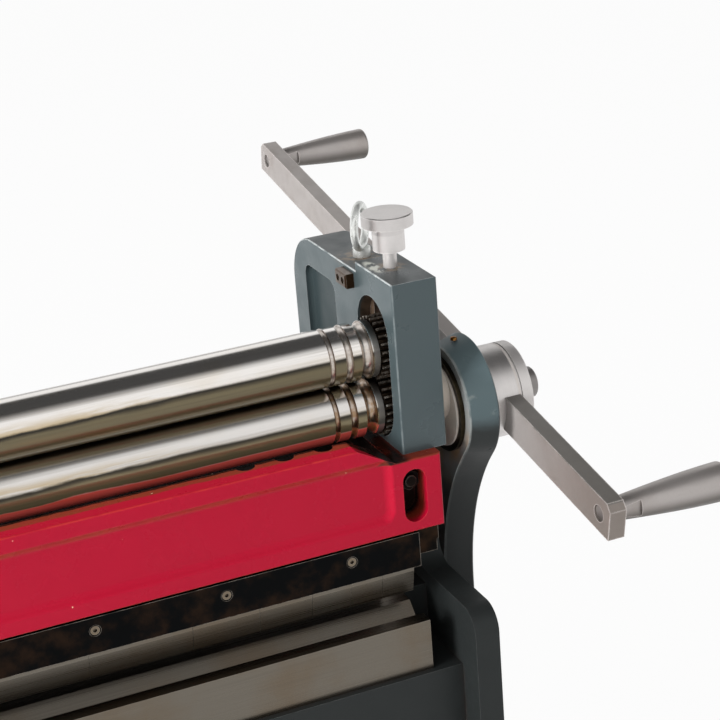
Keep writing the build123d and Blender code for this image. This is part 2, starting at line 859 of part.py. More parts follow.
def hold_down_middle_y():
    """The hold-down runs close before the shear web."""
    return web_front - hold_down_web_gap - hold_down_width / 2


def hold_pin_places():
    return [hold_pin_spacing * (index - (hold_pin_count - 1) / 2) for index in range(hold_pin_count)]


def hold_down_top_z():
    return table_z + hold_down_gap + hold_down_height


def hold_down_bar():
    half = hold_down_width / 2
    top_z = hold_down_top_z()
    end_x = inner_x - hold_down_end_gap
    middle_y = hold_down_middle_y()
    with BuildPart() as bar:
        block(-end_x, end_x, middle_y - half, middle_y + half, top_z - hold_down_height, top_z)
        chamfer(bar.edges().filter_by(Axis.X), hold_down_edge)
    return bar


def hold_down_pins():
    """Pins on the hold-down that slide in the ram's deck."""
    top_z = hold_down_top_z()
    with BuildPart() as pins:
        for x in hold_pin_places():
            peg((x, hold_down_middle_y(), top_z), (0, 0, 1), hold_pin_radius,
                deck_z - deck_thick / 2 - top_z)
    return pins


# Bed, die and side frames

def bed_beam():
    seat_z = table_z - die_height
    floor_z = seat_z - bed_height
    rear_seat_z = table_z - lower_blade_height
    die_rear_y = die_front_y + die_width + bed_front_margin
    with BuildPart() as bed:
        with BuildSketch(side_plane(-frame_inner_x)):
            with BuildLine():
                Polyline(
                    (bed_front_y, floor_z),
                    (bed_rear_y, floor_z),
                    (bed_rear_y, rear_seat_z),
                    (lower_blade_y, rear_seat_z),
                    (lower_blade_y, table_z - slide_clearance),
                    (die_rear_y, table_z - slide_clearance),
                    (die_rear_y, seat_z),
                    (bed_front_y, seat_z),
                    close=True,
                )
            make_face()
        extrude(amount=2 * frame_inner_x)
        cavity_x = frame_inner_x - bed_cavity_end
        block(-cavity_x, cavity_x, bed_front_y + bed_wall, bed_rear_y - bed_wall,
              floor_z, seat_z - bed_top_wall, mode=Mode.SUBTRACT)
        for x in blade_screw_places():
            place = (x, lower_blade_y, table_z - lower_blade_height / 2)
            drill(place, (0, -1, 0), screw_radius, screw_grip)
        for x in (-gauge_spacing, gauge_spacing):
            drill((x, bed_rear_y, table_z - gauge_rod_drop), (0, -1, 0), gauge_rod_radius, gauge_rod_seat)
        for end in (-1, 1):
            for y, z in bed_bolt_places():
                drill((end * frame_inner_x, y, z), (-end, 0, 0), bed_bolt_radius, bed_bolt_grip)
    return bed


def bed_bolt_places():
    middle_z = table_z - die_height - bed_height / 2
    half = bed_bolt_pitch / 2
    return [(-bed_bolt_back, middle_z - half), (-bed_bolt_back, middle_z + half)]


def bed_bolts():
    with BuildPart() as bolts:
        for end in (-1, 1):
            for y, z in bed_bolt_places():
                hexagon((end * frame_outer_x, y, z), (end, 0, 0), bed_bolt_head, bed_bolt_head_height)
                peg((end * frame_outer_x, y, z), (-end, 0, 0), bed_bolt_radius, frame_thick + bed_bolt_grip)
    return bolts


def v_die():
    base_z = table_z - die_height
    end_x = inner_x + die_end_reach
    rear_y = die_front_y + die_width
    half_groove = die_groove_width / 2
    with BuildPart() as die:
        with BuildSketch(side_plane(-end_x)):
            with BuildLine():
                Polyline(
                    (die_front_y, base_z),
                    (rear_y, base_z),
                    (rear_y, table_z),
                    (punch_middle_y + half_groove, table_z),
                    (punch_middle_y, table_z - die_groove_depth),
                    (punch_middle_y - half_groove, table_z),
                    (die_front_y, table_z),
                    close=True,
                )
            make_face()
        extrude(amount=2 * end_x)
    return die


def side_frame(side):
    shoulder_z = seat_height - frame_shoulder
    knee_z = seat_height - frame_knee
    top_z = seat_height - upright_top
    upright_rear = upright_front + upright_width
    hole_x = frame_inner_x - foot_hole_inside
    with BuildPart() as frame:
        with BuildSketch(side_plane(frame_inner_x)) as profile:
            with BuildLine():
                Polyline(
                    (-foot_half_depth, 0),
                    (-foot_half_depth, foot_toe),
                    (-frame_front, knee_z),
                    (-frame_front, shoulder_z),
                    (upright_front, shoulder_z),
                    (upright_front, top_z),
                    (upright_rear, top_z),
                    (upright_rear, shoulder_z),
                    (frame_back, shoulder_z),
                    (frame_back, knee_z),
                    (foot_half_depth, foot_toe),
                    (foot_half_depth, 0),
                    close=True,
                )
            make_face()
            rounded = [corner for corner in profile.vertices() if corner.Y > foot_toe]
            fillet(rounded, frame_corner)
        extrude(amount=frame_thick)
        # Foot flange, with a rib to the plate at each end
        block(frame_inner_x - foot_inner, frame_outer_x + foot_outer,
              -foot_half_depth, foot_half_depth, 0, foot_thick)
        for y in (-foot_half_depth / 2, foot_half_depth / 2):
            with BuildSketch(front_plane(y - rib_thick / 2)):
                with BuildLine():
                    Polyline((frame_inner_x - foot_inner + foot_thick, foot_thick),
                             (frame_inner_x, foot_thick),
                             (frame_inner_x, foot_thick + rib_height), close=True)
                make_face()
            extrude(amount=-rib_thick)
        for y in (-1, 1):
            drill((hole_x, y * (foot_half_depth - foot_hole_inset), 0), (0, 0, 1),
                  foot_hole_radius, foot_thick)
        drill((frame_inner_x, foot_pin_y, pin_height), (1, 0, 0), pin_radius, frame_thick)
        drill((frame_inner_x, 0, tie_height), (1, 0, 0), tie_thread_radius, frame_thick)
        for y, z in bed_bolt_places():
            drill((frame_inner_x, y, z), (1, 0, 0), bed_bolt_radius, frame_thick)
        to_side(side)
    return frame


def guide_gib(side):
    top_z = seat_height - upright_top - gib_top_gap
    with BuildPart() as gib:
        block(frame_inner_x - gib_proud, frame_inner_x, gib_y - gib_width / 2, gib_y + gib_width / 2,
              top_z - gib_length, top_z)
        chamfer(gib.faces().sort_by(Axis.X)[0].edges(), gib_edge)
        to_side(side)
    return gib


def tie_rod():
    end_x = frame_outer_x + nut_height + tie_thread_proud
    with BuildPart() as tie:
        turned([(-frame_inner_x, frame_inner_x, tie_radius)]
               + both_ends(frame_inner_x, end_x, tie_thread_radius), 0, tie_height)
    return tie


def tie_nuts():
    with BuildPart() as nuts:
        for end in (-1, 1):
            with BuildSketch(Plane(origin=(end * frame_outer_x, 0, tie_height), z_dir=(end, 0, 0))):
                RegularPolygon(nut_radius, 6)
                Circle(tie_thread_radius, mode=Mode.SUBTRACT)
            extrude(amount=nut_height)
    return nuts


# Connecting rods

def anchor_pin(side):
    washer_x = rod_outer_x + 2 * slide_clearance
    with BuildPart() as pin:
        turned([(frame_inner_x - pin_head_height, frame_inner_x, pin_head_radius),
                (frame_inner_x, washer_x, pin_radius),
                (washer_x, washer_x + pin_washer_thick, pin_washer_radius)], foot_pin_y, pin_height)
        to_side(side)
    return pin


def rod_eye_radius():
    return eccentric_radius + bush_wall + eye_wall


def connecting_rod(side):
    """A rod whose shank lies behind the crank shaft, with a long slot round the anchor pin."""
    eye_radius = rod_eye_radius()
    neck_z = eye_z - neck_drop
    neck_radius = (neck_drop ** 2 + neck_front ** 2 - eye_radius ** 2) / (2 * (eye_radius + neck_front))
    neck_y = neck_front - neck_radius
    share = eye_radius / (eye_radius + neck_radius)
    front_touch = (neck_y * share, eye_z + (neck_z - eye_z) * share)
    neck_turn = math.atan2(front_touch[1] - neck_z, front_touch[0] - neck_y) / 2
    neck_middle = (neck_y + neck_radius * math.cos(neck_turn), neck_z + neck_radius * math.sin(neck_turn))
    rear_y = neck_front + rod_width
    rear_angle = math.atan2(-neck_drop, rear_y) + math.acos(eye_radius / math.hypot(rear_y, neck_drop))
    rear_touch = (eye_radius * math.cos(rear_angle), eye_z + eye_radius * math.sin(rear_angle))
    slot_width = 2 * (pin_radius + throw + rod_foot_play)
    slot_height = 2 * (pin_radius + stroke + rod_foot_play)
    foot_z = pin_height - (slot_height - slot_width) / 2
    foot_radius = rod_width / 2
    with BuildPart() as rod:
        with BuildSketch(side_plane(rod_inner_x)):
            with BuildLine():
                ThreePointArc(front_touch, (0, eye_z + eye_radius), rear_touch)
                Line(rear_touch, (rear_y, neck_z))
                Line((rear_y, neck_z), (rear_y, foot_z))
                ThreePointArc((rear_y, foot_z), (foot_pin_y, foot_z - foot_radius), (neck_front, foot_z))
                Line((neck_front, foot_z), (neck_front, neck_z))
                ThreePointArc((neck_front, neck_z), neck_middle, front_touch)
            make_face()
        extrude(amount=rod_thick)
        inner_face = rod.faces().sort_by(Axis.X)[0]
        chamfer(inner_face.edges(), rod_draft, rod_draft_reach, reference=inner_face)
        chamfer(rod.faces().sort_by(Axis.X)[-1].edges(), rod_outer_edge)
        drill((rod_inner_x, 0, eye_z), (1, 0, 0), eccentric_radius + bush_wall, rod_thick)
        with BuildSketch(side_plane(rod_inner_x, foot_pin_y, pin_height)):
            SlotOverall(slot_height, slot_width, rotation=90)
        extrude(amount=rod_thick, mode=Mode.SUBTRACT)
        to_side(side)
    return rod


def rod_bush(side):
    with BuildPart() as bush:
        with BuildSketch(side_plane(rod_inner_x - bush_proud, 0, eye_z)):
            Circle(eccentric_radius + bush_wall)
            Circle(eccentric_radius + run_clearance, mode=Mode.SUBTRACT)
        extrude(amount=bush_proud + rod_thick + slide_clearance)
        to_side(side)
    return bush


def eccentric(side):
    disc_x = rod_inner_x - eccentric_proud
    with BuildPart() as disc:
        with BuildSketch(side_plane(disc_x, 0, eye_z)):
            Circle(eccentric_radius)
        extrude(amount=hub_x - disc_x)
        peg((outer_x + collar_gap, 0, low_axis_z), (1, 0, 0), collar_radius, disc_x - outer_x - collar_gap)
        drill((outer_x, 0, low_axis_z), (1, 0, 0), shaft_radius, hub_x - outer_x)
        to_side(side)
    return disc


# Cranks

def bar_plane(x):
    """A plane on the crank bar's face, along the bar towards its long end."""
    tilt = math.radians(bar_tilt)
    return Plane(origin=(x, 0, eye_z), x_dir=(0, math.cos(tilt), math.sin(tilt)), z_dir=(1, 0, 0))


def crank_hub(side):
    seam_x = bar_x + bar_thick + hub_seam_gap
    cap_x = seam_x + hub_seam_width
    end_x = bar_x + bar_thick + hub_cap
    with BuildPart() as hub:
        turned([(hub_x, seam_x, hub_radius),
                (seam_x, cap_x, hub_radius - hub_seam_depth),
                (cap_x, end_x, hub_radius),
                (end_x, end_x + boss_length, boss_radius)], 0, eye_z)
        rims = [edge for edge in hub.edges().filter_by(GeomType.CIRCLE)
                if abs(edge.center().X - end_x) < hub_edge and edge.radius > boss_radius + hub_edge
                or abs(edge.center().X - end_x - boss_length) < hub_edge]
        chamfer(rims, hub_edge)
        with BuildSketch(bar_plane(bar_x)):
            Rectangle(4 * hub_radius, bar_width)
        extrude(amount=bar_thick, mode=Mode.SUBTRACT)
        to_side(side)
    return hub


def crank_bar(side):
    half = bar_width / 2
    front_end = -front_arm - bar_end
    rear_end = rear_arm + bar_end
    with BuildPart() as bar:
        with BuildSketch(bar_plane(bar_x)):
            with BuildLine():
                Polyline(
                    (front_end, -half),
                    (rear_end, -half),
                    (rear_end, half - bar_chamfer),
                    (rear_end - bar_chamfer, half),
                    (front_end + bar_chamfer, half),
                    (front_end, half - bar_chamfer),
                    close=True,
                )
            make_face()
            with Locations((-front_arm, 0), (rear_arm, 0)):
                Circle(stud_radius, mode=Mode.SUBTRACT)
        extrude(amount=bar_thick)
        to_side(side)
    return bar


def crank_handle(side, arm):
    """A tapered handle with spanner flats, on a stud through the bar."""
    tilt = math.radians(bar_tilt)
    y = arm * math.cos(tilt)
    z = eye_z + arm * math.sin(tilt)
    stud_x = bar_x + stud_recess
    start_x = bar_x + bar_thick
    end_x = start_x + handle_length
    rim_x = end_x - handle_round
    rim_radius = handle_end_radius - handle_round
    bend = handle_round * math.sqrt(0.5)
    with BuildPart() as handle:
        with BuildSketch(shaft_plane(y, z)):
            with BuildLine():
                Polyline((start_x, handle_start_radius), (start_x, stud_radius), (stud_x, stud_radius),
                         (stud_x, 0), (end_x, 0), (end_x, rim_radius))
                ThreePointArc((end_x, rim_radius), (rim_x + bend, rim_radius + bend),
                              (rim_x, handle_end_radius))
                Spline((rim_x, handle_end_radius),
                       (start_x + handle_middle, handle_middle_radius),
                       (start_x + handle_quarter, handle_quarter_radius),
                       (start_x, handle_start_radius))
            make_face()
        revolve(axis=Axis((0, y, z), (1, 0, 0)))
        flat_x = start_x + handle_flat_start
        for way in (-1, 1):
            near_y = y + way * handle_flat / 2
            block(flat_x, flat_x + handle_flat_length, near_y, near_y + way * handle_end_radius,
                  z - handle_end_radius, z + handle_end_radius, mode=Mode.SUBTRACT)
        to_side(side)
    return handle


# Back gauge

def gauge_rods():
    with BuildPart() as rods:
        for x in (-gauge_spacing, gauge_spacing):
            peg((x, bed_rear_y - gauge_rod_seat, table_z - gauge_rod_drop), (0, 1, 0),
                gauge_rod_radius, gauge_rod_seat + gauge_rod_reach)
    return rods


def gauge_bar():
    rod_z = table_z - gauge_rod_drop
    top_z = table_z + gauge_bar_rise
    face_y = bed_rear_y + gauge_bar_gap
    boss_y = face_y + gauge_bar_thick / 2 - gauge_boss_length / 2
    with BuildPart() as bar:
        block(-gauge_bar_half, gauge_bar_half, face_y, face_y + gauge_bar_thick,
              top_z - gauge_bar_height, top_z)
        for x in (-gauge_spacing, gauge_spacing):
            peg((x, boss_y, rod_z), (0, 1, 0), gauge_boss_radius, gauge_boss_length)
        for x in (-gauge_spacing, gauge_spacing):
            drill((x, boss_y, rod_z), (0, 1, 0), gauge_rod_radius + run_clearance, gauge_boss_length)
    return bar


os.makedirs("parts", exist_ok=True)

for label, piece in (
    ("lower_roll", lower_roll()),
    ("top_roll", top_roll()),
    ("rear_roll", rear_roll()),
    ("ram", ram_beam()),
    ("punch_backing", punch_backing()),
    ("punch_clamp_bar", punch_clamp_bar()),
    ("clamp_screws", clamp_screws()),
    ("punch_segments", punch_segments()),
    ("upper_blade", upper_blade()),
    ("upper_blade_screws", upper_blade_screws()),
    ("lower_blade", lower_blade()),
    ("lower_blade_screws", lower_blade_screws()),
    ("hold_down_bar", hold_down_bar()),
    ("hold_down_pins", hold_down_pins()),
    ("housing_bolts", housing_bolts()),
    ("bed", bed_beam()),
    ("bed_bolts", bed_bolts()),
    ("v_die", v_die()),
    ("tie_rod", tie_rod()),
    ("tie_nuts", tie_nuts()),
    ("gauge_rods", gauge_rods()),
    ("gauge_bar", gauge_bar()),
):
    save(piece, label)

for hand, side in (("left", -1), ("right", 1)):
    for label, piece in (
        ("drive_gear", roll_gear(side, low_axis_z, 0)),
        ("top_gear", roll_gear(side, top_axis_z, 1)),
        ("roll_housing", roll_housing(side)),
        ("stop_block", stop_block(side)),
        ("eye_bolt", eye_bolt(side)),
        ("top_block", top_block(side)),
        ("top_knob", top_knob(side)),
        ("rear_block", rear_block(side)),
        ("rear_knob", rear_knob(side)),
        ("side_frame", side_frame(side)),
        ("guide_gib", guide_gib(side)),
        ("anchor_pin", anchor_pin(side)),
        ("connecting_rod", connecting_rod(side)),
        ("rod_bush", rod_bush(side)),
        ("eccentric", eccentric(side)),
        ("crank_hub", crank_hub(side)),
        ("crank_bar", crank_bar(side)),
        ("crank_handle_front", crank_handle(side, -front_arm)),
        ("crank_handle_rear", crank_handle(side, rear_arm)),
    ):
        save(piece, f"{label}_{hand}")
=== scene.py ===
import math

import bmesh
import bpy
from bpy.props import FloatProperty, FloatVectorProperty, IntProperty, PointerProperty
from mathutils import Matrix, Vector


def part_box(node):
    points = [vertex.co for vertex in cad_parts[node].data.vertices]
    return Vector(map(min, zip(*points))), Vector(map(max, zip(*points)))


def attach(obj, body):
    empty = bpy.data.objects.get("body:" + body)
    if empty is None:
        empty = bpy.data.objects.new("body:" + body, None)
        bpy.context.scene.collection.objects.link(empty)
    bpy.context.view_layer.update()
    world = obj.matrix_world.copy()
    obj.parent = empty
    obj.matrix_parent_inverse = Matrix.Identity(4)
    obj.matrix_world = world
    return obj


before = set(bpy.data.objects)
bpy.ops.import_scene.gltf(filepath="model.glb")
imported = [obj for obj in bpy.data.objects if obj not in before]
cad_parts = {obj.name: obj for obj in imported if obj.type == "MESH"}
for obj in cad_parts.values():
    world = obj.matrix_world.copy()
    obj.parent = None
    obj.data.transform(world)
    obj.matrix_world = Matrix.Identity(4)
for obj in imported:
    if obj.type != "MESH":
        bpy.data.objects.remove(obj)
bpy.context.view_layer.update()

bl_info = {
    "name": "Sheet Metal Machine Dress",
    "version": (1, 0, 0),
    "blender": (4, 5, 0),
    "location": "View3D > Sidebar > Machine",
    "description": "Finishes and small pieces for a combination sheet metal machine",
    "category": "Object",
}

SIDES = {"left": -1, "right": 1}

# Directions that count in a distance from a place, or from an axis along X or Z
EVERY_WAY = (1.0, 1.0, 1.0)
AROUND_X = (0.0, 1.0, 1.0)
AROUND_Z = (1.0, 1.0, 0.0)

# Grinding lines to the metre, in each direction
ALONG_X = (6.0, 1800.0, 1800.0)
ALONG_Y = (1800.0, 6.0, 1800.0)


# Properties

def srgb(red, green, blue):
    """A display colour, 0 to 255, as the linear colour that shaders take."""
    shares = [channel / 255 for channel in (red, green, blue)]
    return tuple(s / 12.92 if s <= 0.04045 else ((s + 0.055) / 1.055) ** 2.4 for s in shares)


def colour(name, description, value):
    """A colour property."""
    return FloatVectorProperty(
        name=name, description=description, default=value, size=3, min=0.0, max=1.0, subtype="COLOR")


def length(name, description, value):
    """A length property, in metres."""
    return FloatProperty(name=name, description=description, default=value, unit="LENGTH", precision=5)


def share(name, description, value):
    """A property between nothing and all."""
    return FloatProperty(
        name=name, description=description, default=value, min=0.0, max=1.0, subtype="FACTOR")


def angle(name, description, value):
    """An angle property, in radians."""
    return FloatProperty(name=name, description=description, default=value, subtype="ANGLE")


def power(name, description, value):
    """A lamp's power property, in watts."""
    return FloatProperty(name=name, description=description, default=value, min=0.0, unit="POWER")


def position(name, description, value):
    """A place property, in metres."""
    return FloatVectorProperty(
        name=name, description=description, default=value, size=3, subtype="TRANSLATION")


def span(name, description, value):
    """A width and height property, in metres."""
    return FloatVectorProperty(name=name, description=description, default=value, size=2, unit="LENGTH")


class MachineColours(bpy.types.PropertyGroup):
    """Colours of the paints and metals."""

    crimson: colour("Crimson", "Gloss paint of the ram", srgb(178, 12, 46))
    rust_red: colour("Oily crimson", "Ram's paint under old oil", srgb(156, 62, 42))
    slate: colour("Slate", "Paint of the roll housings and the rods' eyes", srgb(68, 80, 83))
    charcoal: colour("Charcoal", "Paint of the frames, the bed and the rods' shanks", srgb(40, 43, 43))
    roll: colour("Roll steel", "Polished rolls", srgb(238, 234, 230))
    # Also drawn as a painted reflection on part of each roll's round.
    film: colour("Oil film", "Dried oil on the rolls", srgb(104, 95, 72))
    straw: colour("Straw", "Old oil in the wire grooves", srgb(150, 112, 66))
    satin: colour("Satin steel", "Turned knobs and hubs", srgb(214, 210, 208))
    warm: colour("Warm steel", "Crank bars", srgb(178, 172, 169))
    zinc: colour("Zinc", "Plated eye bolts and nuts", srgb(238, 240, 237))
    ground: colour("Ground steel", "Dies, blades and gauges", srgb(112, 106, 97))
    oiled: colour("Oiled steel", "Gears, gibs and bearing blocks", srgb(74, 61, 50))
    black: colour("Black oxide", "Clamp bar and cap screws", srgb(9, 10, 11))
    bronze: colour("Bronze", "Rod bushes", srgb(66, 58, 44))
    brass: colour("Brass", "Oil plugs", srgb(150, 104, 52))
    # Also drawn as painted shade in the ram's notches, windows and the gap behind its lip.
    black_oil: colour("Black oil", "Thick oil in the ram's hollows", srgb(20, 12, 9))
    # Drawn as painted shade in tight corners, in the dark brown of dried dirt.
    dirt_and_shade: colour("Grime", "Dried oil and dust in corners", srgb(48, 30, 20))


class DetailSizes(bpy.types.PropertyGroup):
    """Sizes of the small pieces, and of the marks on the paints and metals."""

    wear: length("Edge wear", "Width of the bright line on worn edges", 0.0007)
    plug_radius: length("Oil plug radius", "Radius of the brass oil plugs", 0.0026)
    plug_rise: length("Oil plug rise", "Height of the oil plugs above the rods", 0.0012)
    window_reach: length("Window reach", "Window's middle beyond the housing's inner face", 0.0033)
    window_depth: length("Window depth", "Depth of the ram's windows", 0.022)
    nut_drop: length("Window nut drop", "Nut's middle below the housings' seats", 0.0202)
    nut_radius: length("Window nut radius", "Middle to corner of the nuts in the ram's windows", 0.0085)
    nut_height: length("Window nut height", "Height of the nuts in the ram's windows", 0.0105)
    washer_height: length("Washer height", "Thickness of the washers under the window nuts", 0.0022)
    stud_radius: length("Window stud radius", "Radius of the studs in the ram's windows", 0.0045)
    stud_proud: length("Window stud end", "Length of the studs beyond their nuts", 0.003)
    set_screw: length("Set screw radius", "Radius of the stop blocks' set screws", 0.0025)
    set_length: length("Set screw length", "Length of the stop blocks' set screws", 0.0022)
    set_inset: length("Set screw inset", "Set screws from the stop blocks' ends", 0.0053)
    set_hole: length("Set screw hole", "Depth of the holes in the stop blocks", 0.003)
    socket_radius: length("Socket radius", "Middle to corner of the hexagon sockets", 0.0015)
    socket_depth: length("Socket depth", "Depth of the hexagon sockets", 0.0015)
    thumb_reach: length("Thumb screw reach", "Gauge rods' axes from the machine's middle", 0.35)
    thumb_radius: length("Thumb screw radius", "Radius of the back gauge's thumb screws", 0.011)
    thumb_length: length("Thumb screw length", "Length of a thumb screw's head", 0.012)
    thumb_neck: length("Thumb screw neck", "Length of bare screw over a thumb screw's head", 0.004)
    neck_radius: length("Thumb screw neck radius", "Radius of a thumb screw's bare screw", 0.0044)
    knurl_teeth: IntProperty(
        name="Knurl teeth", description="Teeth round a thumb screw", default=30, min=6)
    knurl_depth: share("Knurl depth", "Depth of the knurl as a share of a thumb screw's radius", 0.06)
    screw_bared: length("Bared screw", "Length of bare screw under a top roll's knob", 0.013)
    sleeve_dry: length("Dry sleeve", "Height of the pale part of a top roll's knob", 0.013)
    boss_length: length("Hub boss", "Length of the boss on a crank hub", 0.016)
    cap_length: length("Hub cap", "Length of a crank hub's end cap, from its seam", 0.01)
    bar_half: length("Crank bar half", "Half the width of the crank bars", 0.01355)
    bar_tilt: angle("Crank bar tilt", "Slope of the crank bars", math.radians(10.5))
    end_band: length("Roll end band", "Where the dull ends of the rolls begin, from the middle", 0.511)
    lip_top_gap: length("Lip top gap", "Level top of the ram's lip to the housing's inner face", 0.039)
    lip_foot_gap: length("Lip foot gap", "Foot of the lip's slope to the housing's inner face", 0.0114)
    lip_width: length("Lip width", "Width of the ram's lip from front to back", 0.02)
    deck_drop: length("Deck drop", "Ram's deck below the housings' seats", 0.014)
    hole_half: length("Gear hole half", "Half the width of the housings' gear holes", 0.0285)
    hole_rise: length("Gear hole rise", "Top of the gear holes above the top roll", 0.03)
    pocket_front: length("Pocket front", "Front of the housings' pockets, behind the roll's axis", 0.04)
    top_band: length("Housing top band", "Depth of the housings' stepped tops", 0.009)
    bolt_stain: length("Bolt stain", "Reach of the oil round the eye bolts", 0.024)
    screw_stain: length("Screw stain", "Reach of the oil round the adjusting screws", 0.014)
    patch_inset: length("Bare patch inset", "Bare patch from the housing's inner face", 0.0062)
    patch_back: length("Bare patch back", "Bare patch behind the adjusting screw", 0.006)
    marks_start: length("Hand marks", "Where the marks of hands on the rolls fade, from the middle", 0.29)
    marks_end: length("Hand marks' end", "Where the marks of hands on the rolls are faint", 0.42)


class StageSizes(bpy.types.PropertyGroup):
    """Camera, lamps and floor."""

    camera_place: position("Camera place", "Where the camera stands", (0.04153, -1.17468, 1.08999))
    camera_turn: angle("Camera turn", "Turn of the view to the right", 0.378431)
    camera_tilt: angle("Camera tilt", "Tilt of the view downwards", 0.368433)
    camera_roll: angle("Camera roll", "Roll of the camera", -0.080295)
    camera_lens: FloatProperty(
        name="Lens", description="Focal length on a 36 mm sensor", default=95.3287, unit="CAMERA")
    floor_half: length("Floor", "Half the floor's width", 15.0)
    floor_colour: colour("Floor colour", "Pale floor", (0.9, 0.9, 0.9))
    floor_glow: share("Floor glow", "Share of plain white in what is seen of the floor", 0.95)
    room_colour: colour("Room colour", "Soft light from all round", (1.0, 0.985, 0.97))
    room_light: share("Room light", "Strength of the light from all round", 0.36)
    strip_front: angle(
        "Strip front", "Front edge of the dark ceiling, from level at the front", math.radians(48.0))
    strip_back: angle(
        "Strip back", "Back edge of the dark ceiling, from level at the front", math.radians(138.0))
    front_soft: angle("Front softness", "Blur of the ceiling's front edge", math.radians(24.0))
    back_soft: angle("Back softness", "Blur of the ceiling's back edge", math.radians(8.0))
    wall_foot: angle(
        "Wall foot", "Where the wall behind turns dim, from level at the front", math.radians(172.0))
    ceiling: share("Ceiling", "How bright the ceiling looks in bright metal", 0.06)
    back_wall: share("Back wall", "How bright the foot of the wall behind looks in bright metal", 0.5)
    lamps_aim: position("Lamps' aim", "Where the lamps point", (0.3, 0.0, 0.55))
    front_place: position("Front lamp", "Where the long lamp before the rolls hangs", (-1.0, -2.0, 1.7))
    front_size: span("Front lamp size", "Width and height of the long lamp", (3.0, 1.2))
    front_power: power("Front power", "Power of the long lamp before the rolls", 14.0)
    side_place: position("Side lamp", "Where the large lamp at the left hangs", (-2.9, -0.7, 1.5))
    side_size: span("Side lamp size", "Width and height of the large lamp", (1.8, 1.8))
    side_power: power("Side power", "Power of the large lamp at the left", 165.0)
    fill_place: position("Fill lamp", "Where the weak lamp at the right hangs", (2.2, -1.9, 1.3))
    fill_size: span("Fill lamp size", "Width and height of the weak lamp", (1.6, 1.6))
    fill_power: power("Fill power", "Power of the weak lamp at the right", 9.0)


def hue(name):
    """One of the machine's colours."""
    return tuple(getattr(bpy.context.scene.machine_colours, name))


def sizes():
    """The sizes of the small pieces and of the marks on the paints and metals."""
    return bpy.context.scene.machine_sizes


def stage_sizes():
    """The camera's, lamps' and floor's settings."""
    return bpy.context.scene.machine_stage


# Shader nodes

class Wiring:
    """A tree of shader nodes, with short ways to add and join them."""

    def __init__(self, tree):
        self.nodes = tree.nodes
        self.links = tree.links

    def put(self, socket, value):
        """Sets a socket to a value, or joins it to another socket."""
        if isinstance(value, bpy.types.NodeSocket):
            self.links.new(value, socket)
        elif socket.type == "RGBA":
            socket.default_value = (*value, 1.0)
        else:
            socket.default_value = value

    def add(self, kind, sockets=None, **settings):
        """A new node with its settings, and its sockets set or joined."""
        node = self.nodes.new(kind)
        for key, value in settings.items():
            setattr(node, key, value)
        for key, value in (sockets or {}).items():
            self.put(node.inputs[key], value)
        return node

    def math(self, operation, first, second=0.0):
        """Arithmetic on one or two numbers."""
        node = self.add("ShaderNodeMath", {0: first, 1: second}, operation=operation)
        return node.outputs["Value"]

    def vector(self, operation, first, second=(0.0, 0.0, 0.0), output="Vector"):
        """Arithmetic on one or two vectors."""
        node = self.add("ShaderNodeVectorMath", {0: first, 1: second}, operation=operation)
        return node.outputs[output]

    def parts(self, vector):
        """The X, Y and Z of a vector."""
        return self.add("ShaderNodeSeparateXYZ", {"Vector": vector}).outputs

    def product(self, *masks):
        """Several masks multiplied together."""
        whole = masks[0]
        for mask in masks[1:]:
            whole = self.math("MULTIPLY", whole, mask)
        return whole

    def mix(self, factor, first, second):
        """A mix of two colours."""
        node = self.add("ShaderNodeMix", data_type="RGBA")
        for key, value in {0: factor, 6: first, 7: second}.items():
            self.put(node.inputs[key], value)
        return node.outputs[2]

    def seen(self):
        """1 for what the camera sees, straight or in metal and glass, and 0 for the light on things."""
        path = self.add("ShaderNodeLightPath").outputs
        bounced = self.math("MAXIMUM", path["Is Glossy Ray"], path["Is Transmission Ray"])
        return self.math("MAXIMUM", path["Is Camera Ray"], bounced)


